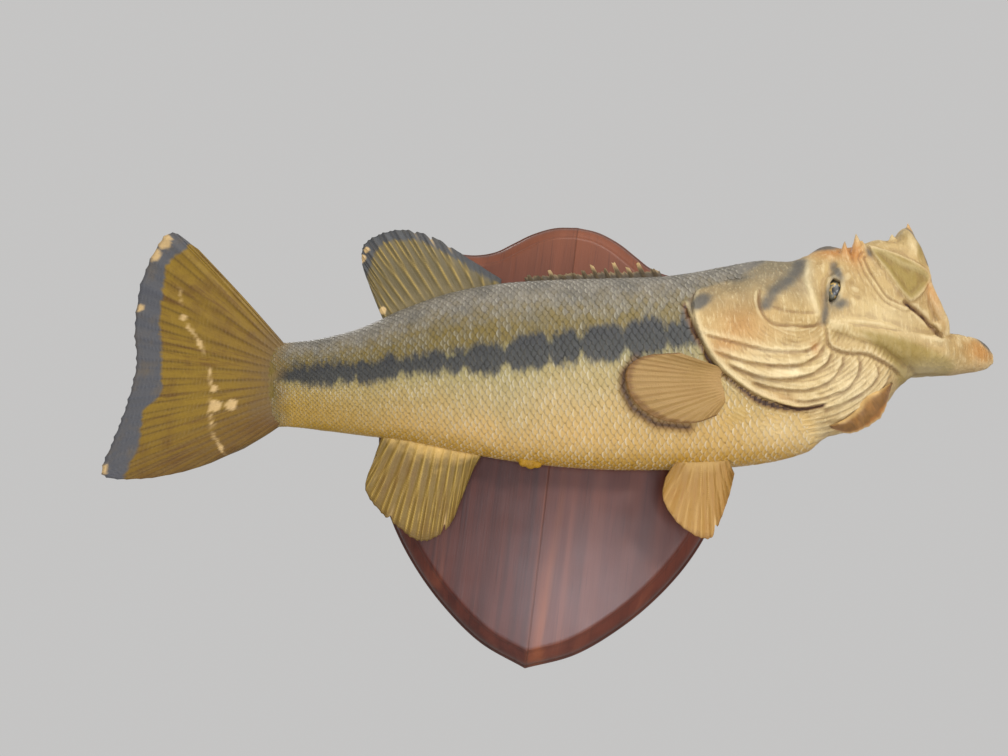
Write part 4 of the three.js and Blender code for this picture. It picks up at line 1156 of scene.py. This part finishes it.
def fishLook(name, onScales):
    look = Look(name)
    lean = look.node("ShaderNodeVectorRotate", {"rotation_type": "Y_AXIS"},
                     {"Vector": look.coords, "Angle": lie["noseUp"]})
    big = look.noise(lean, 28.0, 3.0)
    mid = look.noise(lean, 95.0, 4.0, 0.6)
    fine = look.noise(lean, 420.0, 3.0, 0.6)
    streak = look.noise(look.scaled(lean, (0.35, 1.0, 1.6)), 210.0, 3.0, 0.6)
    tone = look.field("tone")
    over, under = look.field("over"), look.field("under")
    # flank from the stripe up to the back
    upright = look.noise(look.scaled(lean, (1.0, 0.5, 0.3)), 430.0, 4.0, 0.65)
    speckle = (mid * 0.45 + tone * 0.2 + upright * 0.55).ease(0.45, 0.85)
    upper = look.blend(tints["upper"], tints["upperDark"], speckle)
    back = look.blend(tints["back"], tints["backDark"], mid.ease(0.35, 0.7))
    climb = over + (mid - 0.5) * 0.4 + (upright - 0.5) * 0.5 + (tone - 0.5) * 0.15
    high = look.blend(upper, back, climb.ease(0.22, 0.86))
    # below it, straw to ochre
    low = look.blend(tints["pale"], tints["straw"], (under + (big - 0.5) * 0.5).ease(0.0, 0.45))
    low = look.blend(low, tints["ochre"], (under + (big - 0.5) * 0.6).ease(0.35, 0.85))
    low = look.blend(low, tints["underside"], (under + (mid - 0.5) * 0.25).ease(0.8, 1.02))
    rearward = look.field("rearward")
    low = look.blend(low, tints["mustard"], rearward * (under + (big - 0.5) * 0.5).ease(-0.2, 0.7) * 0.8)
    colour = look.blend(low, high, (over + (mid - 0.5) * 0.24 + (tone - 0.5) * 0.06).ease(-0.04, 0.18))
    dark = look.field("stripe") + (mid - 0.5) * 7.0 + (upright - 0.5) * 14.0 + (tone - 0.5) * 1.2
    dark = dark.ease(-2.6, 4.0)
    colour = look.blend(colour, tints["stripe"], dark * 0.94)
    tailEnd = look.blend(tints["finRoot"], tints["upper"], mid.ease(0.4, 0.7))
    colour = look.blend(colour, tailEnd, look.field("tailward"))
    # dried skin of the head
    fibre = look.noise(look.scaled(lean, (1.0, 0.6, 0.2)), 820.0, 4.0, 0.65, 0.3)
    skin = look.blend(tints["head"], tints["headTan"], (big * 0.6 + mid * 0.5).ease(0.42, 0.72))
    skin = look.blend(skin, tints["headWarm"], look.field("orange") * (0.45 + 0.7 * mid).clip())
    # greyer and darker towards the top of the head, partly painted shade
    skin = look.blend(skin, tints["crown"], (look.field("crown") + (mid - 0.5) * 0.5).clip())
    skin = look.blend(skin, tints["bone"], fibre.ease(0.5, 0.75) * 0.32)
    skin = look.blend(skin, tints["headTan"], (1 - fibre).ease(0.52, 0.8) * 0.45)
    skin = look.blend(skin, tints["olive"], (look.field("olive") + (mid - 0.5) * 0.25).clip() * 0.85)
    colour = look.blend(colour, skin, look.field("head"))
    # painted highlight from the pale field: fold crests, ridges and the lower head
    colour = look.blend(colour, tints["bone"], (look.field("pale") * (0.5 + mid * 0.7)).clip() * 0.7)
    if not onScales:
        # painted highlight on the crests of the dried skin and painted shade in its hollows, from the crest
        # field
        wearAndReliefShading = look.field("crest") + (fine - 0.5) * 0.6
        plain = (1 - look.field("olive") * 0.8 - look.field("orange") * 0.7).clip()
        colour = look.blend(colour, tints["bone"], wearAndReliefShading.ease(0.25, 1.2) * 0.26 * plain)
        colour = look.blend(colour, tints["creaseShade"], (wearAndReliefShading * -1.0).ease(0.25, 1.2) * 0.3)
    ink = look.field("ink") + (mid - 0.5) * 0.6 + (fibre - 0.5) * 0.3
    colour = look.blend(colour, tints["ink"], ink.ease(0.12, 0.95) * 0.9)
    # painted shade in the grooves and under the folds, darkest in the deepest gaps
    colour = look.blend(colour, tints["creaseShade"], (look.field("creaseShade") * 1.05).clip())
    colour = look.blend(colour, tints["gap"], look.field("creaseShade").ease(0.68, 0.92) * 0.8)
    colour = look.blend(colour, tints["cavity"], look.field("cavity") * 0.8)
    grime = streak.ease(0.62, 0.8) * 0.16 + fine.ease(0.6, 0.85) * 0.12
    colour = look.blend(colour, (0.02, 0.015, 0.01), grime)
    if onScales:
        rim = look.field("rim")
        # painted highlight on the free edges, weaker in the stripe, on the back, low towards the tail and in
        # the shaded folds
        glint = rim.ease(0.45, 0.9) * (0.1 + 0.4 * (tone * upright * 2.0)) * (1 - dark * 0.85)
        glint = glint * (1 - over.ease(-0.1, 0.3) * 0.45) * (1 - rearward * under.ease(0.2, 0.7) * 0.6)
        glint = glint * (1 - look.field("creaseShade").ease(0.0, 0.3))
        colour = look.blend(colour, (0.95, 0.86, 0.66), glint)
        # painted shade towards the root of each scale, under the free edges ahead of it
        colour = look.blend(colour, (0.1, 0.06, 0.02), (1 - rim).ease(0.6, 1.0) * 0.06)
        rings = (rim * 38.0).wave() * 0.5 + 0.5
        look.finish(rings * 0.4 + fine, 0.00012, Base_Color=colour, Roughness=0.36 + fine * 0.25,
                    Coat_Weight=0.1,
                    Coat_Roughness=0.3, Specular_IOR_Level=0.4)
    else:
        wrinkle = look.noise(look.scaled(lean, (0.8, 1.0, 0.7)), 260.0, 5.0, 0.62, 0.6)
        look.finish(wrinkle + fibre * 0.7, 0.001, Base_Color=colour, Roughness=0.42 + mid * 0.25,
                    Coat_Weight=0.08, Coat_Roughness=0.35, Specular_IOR_Level=0.35)
    return look.owner


def dress(piece, material):
    piece.data.materials.clear()
    piece.data.materials.append(material)


print("finishes")
skinLook = fishLook("driedSkin", False)
dress(skin, skinLook)
scaleLook = fishLook("driedScales", True)
for coat in scaleCoats:
    dress(coat, scaleLook)

finTints = {  # web, ray, margin, fleshy root, streaks of the web
    "tail": ((130, 102, 30), (92, 70, 24), (76, 79, 86), (104, 82, 48), (88, 58, 24)),
    "softDorsal": ((90, 78, 48), (166, 140, 76), (60, 62, 66), (112, 98, 64), (84, 76, 50)),
    "anal": ((114, 90, 32), (178, 146, 70), (100, 76, 32), (224, 184, 106), (104, 74, 26)),
    "pelvic": ((152, 114, 54), (176, 138, 78), (130, 92, 40), (186, 150, 88), (148, 104, 46)),
    "pectoral": ((148, 116, 64), (152, 120, 68), (112, 78, 36), (164, 130, 80), (144, 110, 62)),
    "flap": ((126, 88, 42), (160, 112, 56), (186, 122, 58), (200, 162, 100), (96, 66, 34)),
    "spiny": ((70, 58, 40), (96, 78, 52), (128, 108, 76), (92, 80, 54), (66, 54, 38)),
}


def finLook(name, key):
    web, ray, edge, root, streakTint = (paint8(*tint) for tint in finTints[key])
    look = Look(name)
    v, onRay, u = look.field("finV"), look.field("ray"), look.field("finU")
    mid = look.noise(look.coords, 90.0, 4.0, 0.6)
    fine = look.noise(look.coords, 520.0, 3.0)
    big = look.noise(look.coords, 32.0, 3.0)
    fan = look.node("ShaderNodeCombineXYZ", {}, {0: u * 46.0, 1: v * 2.2, 2: mid * 0.6})
    streak = look.noise(fan, 1.0, 4.0, 0.65)
    colour = look.blend(web, ray, (onRay ** 2.4 * (0.5 + 0.9 * mid)).clip() * 0.9)
    colour = look.blend(colour, streakTint, streak.ease(0.5, 0.72) * 0.75)
    colour = look.blend(colour, look.blend(ray, root, 0.4), (1 - streak).ease(0.55, 0.75) * 0.4)
    colour = look.blend(colour, streakTint, (big * 0.7 + mid * 0.4).ease(0.52, 0.78) * 0.55)
    if key == "tail":  # browner low down and towards its fleshy root
        brown = ((1 - u).ease(0.5, 0.9) * 0.65 + (1 - v).ease(0.45, 0.9) * 0.4) * (0.6 + mid * 0.6)
        colour = look.blend(colour, streakTint, brown)
    colour = look.blend(colour, root, (1 - v + (mid - 0.5) * 0.4).ease(0.68, 1.0))
    atEdge = (look.field("band") + (mid - 0.5) * 5.0 + (streak - 0.5) * 6.0).ease(-1.2, 1.6)
    edgeColour = look.blend(edge, web, (mid * 0.6 + big * 0.5).ease(0.5, 0.8) * 0.3)
    colour = look.blend(colour, edgeColour, atEdge * 0.93)
    colour = look.blend(colour, paint8(198, 166, 114), look.field("frayed") * 0.85)
    colour = look.blend(colour, (0.02, 0.014, 0.008), fine.ease(0.58, 0.85) * 0.25)
    joints = (v * 260.0).wave() * onRay
    look.finish(fine + joints * 0.2 + onRay * 0.3 + streak * 1.2, 0.0003, Base_Color=colour,
                Roughness=0.42 + mid * 0.25,
                Coat_Weight=0.06, Coat_Roughness=0.35, Specular_IOR_Level=0.35)
    return look.owner


for key, piece in finPieces.items():
    dress(piece, finLook(key + "Membrane", "pelvic" if key.startswith("pelvic") else key))


def eyeLook(name, side):  # clouded, shrunken glass: slate with flecks of brass
    look = Look(name)
    centre = Vector(place(eyeCentre(side)))
    aside = look.node("ShaderNodeVectorMath", {"operation": "SUBTRACT"}, {0: look.coords, 1: tuple(centre)})
    flat = look.scaled(aside, (1, 0, 1))
    r = look.node("ShaderNodeVectorMath", {"operation": "LENGTH"}, {0: flat}, "Value") * 1000.0
    mid = look.noise(look.coords, 380.0, 3.0)
    fleck = look.noise(look.scaled(look.coords, (1.0, 1.0, 0.35)), 700.0, 4.0, 0.6)
    iris = look.blend(paint8(92, 88, 70), paint8(206, 166, 84), fleck.ease(0.48, 0.66))
    colour = look.blend(paint8(38, 37, 36), iris, (r + (mid - 0.5) * 1.8).ease(2.3, 3.2))
    colour = look.blend(colour, paint8(62, 56, 44), (r + (mid - 0.5) * 2.2).ease(4.6, 6.0))
    colour = look.blend(colour, paint8(150, 144, 124), mid.ease(0.5, 0.8) * 0.25)
    look.finish(None, Base_Color=colour, Roughness=0.3 + mid * 0.25, Coat_Weight=0.35, Coat_Roughness=0.2)
    return look.owner


for piece, side in zip(eyePieces, (1, -1)):
    dress(piece, eyeLook("eyeGlass" + ("Right" if side > 0 else "Left"), side))


def woodLook(name):
    look = Look(name)
    x = look.split(look.coords, "X")
    z = look.split(look.coords, "Z")
    side = x.ease(0.0005, 0.0012)  # the two boards meet on the middle line
    across = x + side * 0.37
    shifted = look.node("ShaderNodeCombineXYZ", {}, {0: across, 1: look.split(look.coords, "Y"), 2: z * 0.06})
    grain = look.noise(shifted, 150.0, 5.0, 0.62, 0.4)
    broad = look.noise(shifted, 38.0, 3.0, 0.5, 1.2)
    pores = look.noise(look.node("ShaderNodeCombineXYZ", {}, {0: across, 1: 0.0, 2: z * 0.035}), 900.0, 2.0)
    colour = look.blend(paint8(82, 36, 25), paint8(64, 26, 19), grain.ease(0.35, 0.7))
    colour = look.blend(colour, paint8(124, 66, 44), broad.ease(0.45, 0.75) * 0.6)
    colour = look.blend(colour, paint8(112, 58, 40), side * 0.25)
    # lighter and warmer towards the top
    colour = look.blend(colour, paint8(140, 80, 48), z.ease(0.04, 0.14) * 0.5)
    colour = look.blend(colour, paint8(40, 20, 18), pores.ease(0.55, 0.75) * 0.35)
    joint = 1 - (x - 0.0008).size().ease(0.0001, 0.0006)
    colour = look.blend(colour, paint8(40, 20, 16), joint * 0.55)
    band = (1 - (x - 0.006).size().ease(0.001, 0.008)) * broad.ease(0.3, 0.6)
    colour = look.blend(colour, paint8(140, 76, 42), band * 0.75)
    # darker on the moulded edge towards the back
    y = look.split(look.coords, "Y") * -1000.0
    colour = look.blend(paint8(44, 24, 18), colour, y.ease(6.5, 15.5) * 0.6 + 0.4)
    behind = y.ease(0.25, 0.0)
    colour = look.blend(colour, paint8(150, 104, 66), behind * 0.55)
    wearAndReliefShading = look.noise(look.coords, 60.0, 4.0)
    look.finish(grain + pores * 0.6 - joint * 1.5, 0.00012, Base_Color=colour,
                Roughness=0.36 + wearAndReliefShading * 0.22 + behind * 0.3,
                Coat_Weight=0.13, Coat_Roughness=0.2, Specular_IOR_Level=0.32)
    return look.owner


dress(board, woodLook("stainedWood"))


def rawWoodLook(name):
    look = Look(name)
    grain = look.noise(look.scaled(look.coords, (0.06, 1, 1)), 220.0, 5.0, 0.6, 0.5)
    colour = look.blend(paint8(176, 138, 90), paint8(126, 90, 54), grain.ease(0.35, 0.7))
    look.finish(grain, 0.0003, Base_Color=colour, Roughness=0.7 + grain * 0.2)
    return look.owner


def steelLook(name):
    look = Look(name)
    brush = look.noise(look.scaled(look.coords, (0.08, 1, 1)), 900.0, 3.0)
    dull = look.noise(look.coords, 120.0, 4.0)
    colour = look.blend(paint8(150, 146, 138), paint8(96, 84, 70), dull.ease(0.5, 0.8))
    look.finish(brush, 0.0001, Base_Color=colour, Metallic=0.95, Roughness=0.3 + dull * 0.3)
    return look.owner


steel = steelLook("dullSteel")
for word, material in (("backing_block", rawWoodLook("rawWood")), ("hanger_plate", steel),
                       ("screw_low", steel), ("screw_high", steel)):
    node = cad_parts[word]
    if node.material_slots:
        for held in node.material_slots:
            held.material = material
    else:
        node.data.materials.append(material)

# Floor, light and camera.
stage = {"floorZ": -1.3, "radius": 3.0, "world": (0.62, 0.615, 0.61), "low": (0.27, 0.265, 0.26),
         "worldPower": 0.9}
angle = np.linspace(0, 2 * math.pi, 96, endpoint=False)
floor = addObject("studioFloor",
                  [(stage["radius"] * math.cos(a), stage["radius"] * math.sin(a), stage["floorZ"])
                                  for a in angle], [range(96)], True)
floorLook = Look("paleFloor")
speck = floorLook.noise(floorLook.coords, 45.0, 5.0)
pale = floorLook.blend(paint8(206, 204, 200), paint8(200, 197, 193), speck.ease(0.3, 0.7))
floorLook.finish(speck, 0.0005, Base_Color=pale, Roughness=0.8 + speck * 0.1)
floor.data.materials.append(floorLook.owner)

sky = Look("studio", "worlds", "Background", "Generated")
bpy.context.scene.world = sky.owner
# darker low in front
lit = (sky.split(sky.coords, "Y") * 0.9 + sky.split(sky.coords, "Z") * 0.9).ease(-0.9, 0.35)
sky.finish(Color=sky.blend(stage["low"], stage["world"], lit), Strength=stage["worldPower"])


def lamp(name, at, aim, size, power, tint=(1, 1, 1)):
    data = bpy.data.lights.new(name, "AREA")
    data.shape, data.size, data.energy, data.color = "DISK", size, power, tint
    thing = bpy.data.objects.new(name, data)
    thing.location = at
    thing.rotation_euler = (Vector(aim) - Vector(at)).to_track_quat("-Z", "Y").to_euler()
    bpy.context.scene.collection.objects.link(thing)


lamp("overheadSoftbox", (0.2, -0.85, 1.15), (0, -0.03, 0), 0.9, 11.5, (1, 1, 0.98))
lamp("sideKey", (0.46, -1.2, 0.32), (0, -0.03, 0), 0.18, 5.5, (1, 1, 0.98))
lamp("lowWindow", (0.1, -1.2, -0.75), (0.02, 0, -0.05), 0.9, 6.5, (1, 0.99, 0.98))
lamp("frontGlare", (0.067, -1.4, -0.154), (0.02, 0, -0.05), 0.26, 5.5, (0.93, 0.98, 1.08))
lamp("backFill", (-1.0, 1.3, 0.8), (0, 0, 0), 1.2, 12.0)

view = {"yaw": -4.0, "pitch": 9.0, "roll": 7.2, "at": (12.5, -678.9, -71.0), "lens": 1081 / 1008 * 36}
a, b, r = (math.radians(view[key]) for key in ("pitch", "yaw", "roll"))
ahead = Vector((math.sin(b) * math.cos(a), math.cos(b) * math.cos(a), math.sin(a)))
level = Vector((math.cos(b), -math.sin(b), 0))
upright = level.cross(ahead)
right = math.cos(r) * level + math.sin(r) * upright
top = -math.sin(r) * level + math.cos(r) * upright
lens = bpy.data.cameras.new("viewCamera")
lens.lens, lens.sensor_width, lens.clip_start = view["lens"], 36, 0.01
camera = bpy.data.objects.new("viewCamera", lens)
camera.matrix_world = Matrix([(right[k], top[k], -ahead[k], view["at"][k] / 1000) for k in range(3)]
                             + [(0, 0, 0, 1)])
bpy.context.scene.collection.objects.link(camera)
bpy.context.scene.camera = camera
bpy.context.scene.view_settings.view_transform = "Standard"

print("scene ready")
